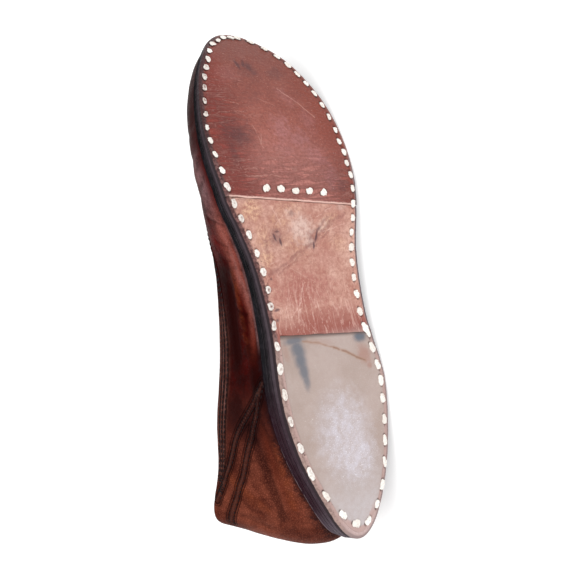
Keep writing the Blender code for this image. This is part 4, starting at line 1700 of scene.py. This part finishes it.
def thread_finish(name, pale, dark, roughness, fuzz):
    finish = Finish(name)
    place = add_node(finish.tree, "TexCoord", {})[3]
    ply, tint, soil = finish.notes("ply tint soil")
    finish.colour = (tint * 0.75).mix(pale, [0.6 * a + 0.4 * b for a, b in zip(pale, dark)])
    # Painted shade in the groove between the two strands.
    finish.over(ply.band(0.32, 0) * 0.7, dark)
    patchy = place.noise(1.1 * MM, 3, 0.6)
    finish.over(patchy.band(0.52, 0.7) * 0.6, dark)
    finish.over(soil * patchy.band(0.36, 0.6, 0.35, 1) * 0.9, SOIL)
    return finish.done(roughness, place.noise(0.35 * MM, 3, 0.7) * fuzz, gloss=0.1)


sole_thread = thread_finish("sole_thread", pale=(0.97, 0.95, 0.90), dark=(0.60, 0.47, 0.39),
                            roughness=0.75, fuzz=0.18)
black_thread = thread_finish("black_thread", pale=(0.016, 0.011, 0.012),
                             dark=(0.005, 0.004, 0.004), roughness=0.45, fuzz=0.1)
finish_piece(sole_stitches, "sole thread", sole_thread)
finish_piece(topline_thread, "black thread", black_thread)
finish_piece(counter_thread, "black thread", black_thread)
finish_piece(side_seam_thread, "black thread", black_thread)


# %% [markdown]
# ## Floor, light and camera
#
# A pale floor under a large soft light from the side that the sole faces, with a weaker one from
# above. The camera looks at the sole from above, with the toe at the top of the view.

# %% Floor
deselect()
bpy.ops.mesh.primitive_plane_add(size=8)
floor = bpy.context.object
floor.name = "floor"
pale_floor = Finish("pale_floor")
pale_floor.shader["Base Color"].default_value = (0.76, 0.76, 0.76, 1)
pale_floor.shader["Roughness"].default_value = 0.9
pale_floor.shader["Emission Color"].default_value = (1, 1, 1, 1)
pale_floor.shader["Emission Strength"].default_value = 0.46
floor.data.materials.append(pale_floor.material)

# %% Light
world = bpy.data.worlds.new("studio")
bpy.context.scene.world = world
world.use_nodes = True
background = world.node_tree.nodes["Background"].inputs
background["Color"].default_value = (1, 1, 1, 1)
background["Strength"].default_value = 0.46


def soft_light(name, place, aim, size, power):
    light = bpy.data.lights.new(name, "AREA")
    light.size = size
    light.energy = power
    lamp = bpy.data.objects.new(name, light)
    bpy.context.scene.collection.objects.link(lamp)
    lamp.location = place
    lamp.rotation_euler = (Vector(aim) - Vector(place)).to_track_quat("-Z", "Y").to_euler()


soft_light("front", place=(0.35, -1.5, 0.75), aim=(0, 0, 0.04), size=1.0, power=6)
soft_light("above", place=(-0.3, -0.5, 2.2), aim=(0, 0, 0.04), size=2.4, power=42)

# %% Camera
VIEW_FROM = Vector((246.4, 102.2, -285.2)) * MM
VIEW_TO = Vector((1.6, 127.0, 20.0)) * MM
VIEW_UP = Vector((-0.109, 0.980, -0.167))
LENS = 47.2
look = TO_WORLD @ (VIEW_TO - VIEW_FROM).normalized()
right = look.cross(TO_WORLD @ VIEW_UP).normalized()
upwards = right.cross(look)
camera_data = bpy.data.cameras.new("camera")
camera_data.lens = LENS
camera = bpy.data.objects.new("camera", camera_data)
bpy.context.scene.collection.objects.link(camera)
turn_matrix = Matrix((right, upwards, -look)).transposed().to_4x4()
camera.matrix_world = Matrix.Translation(POSE @ VIEW_FROM) @ turn_matrix
bpy.context.scene.camera = camera
bpy.context.scene.view_settings.view_transform = "Standard"
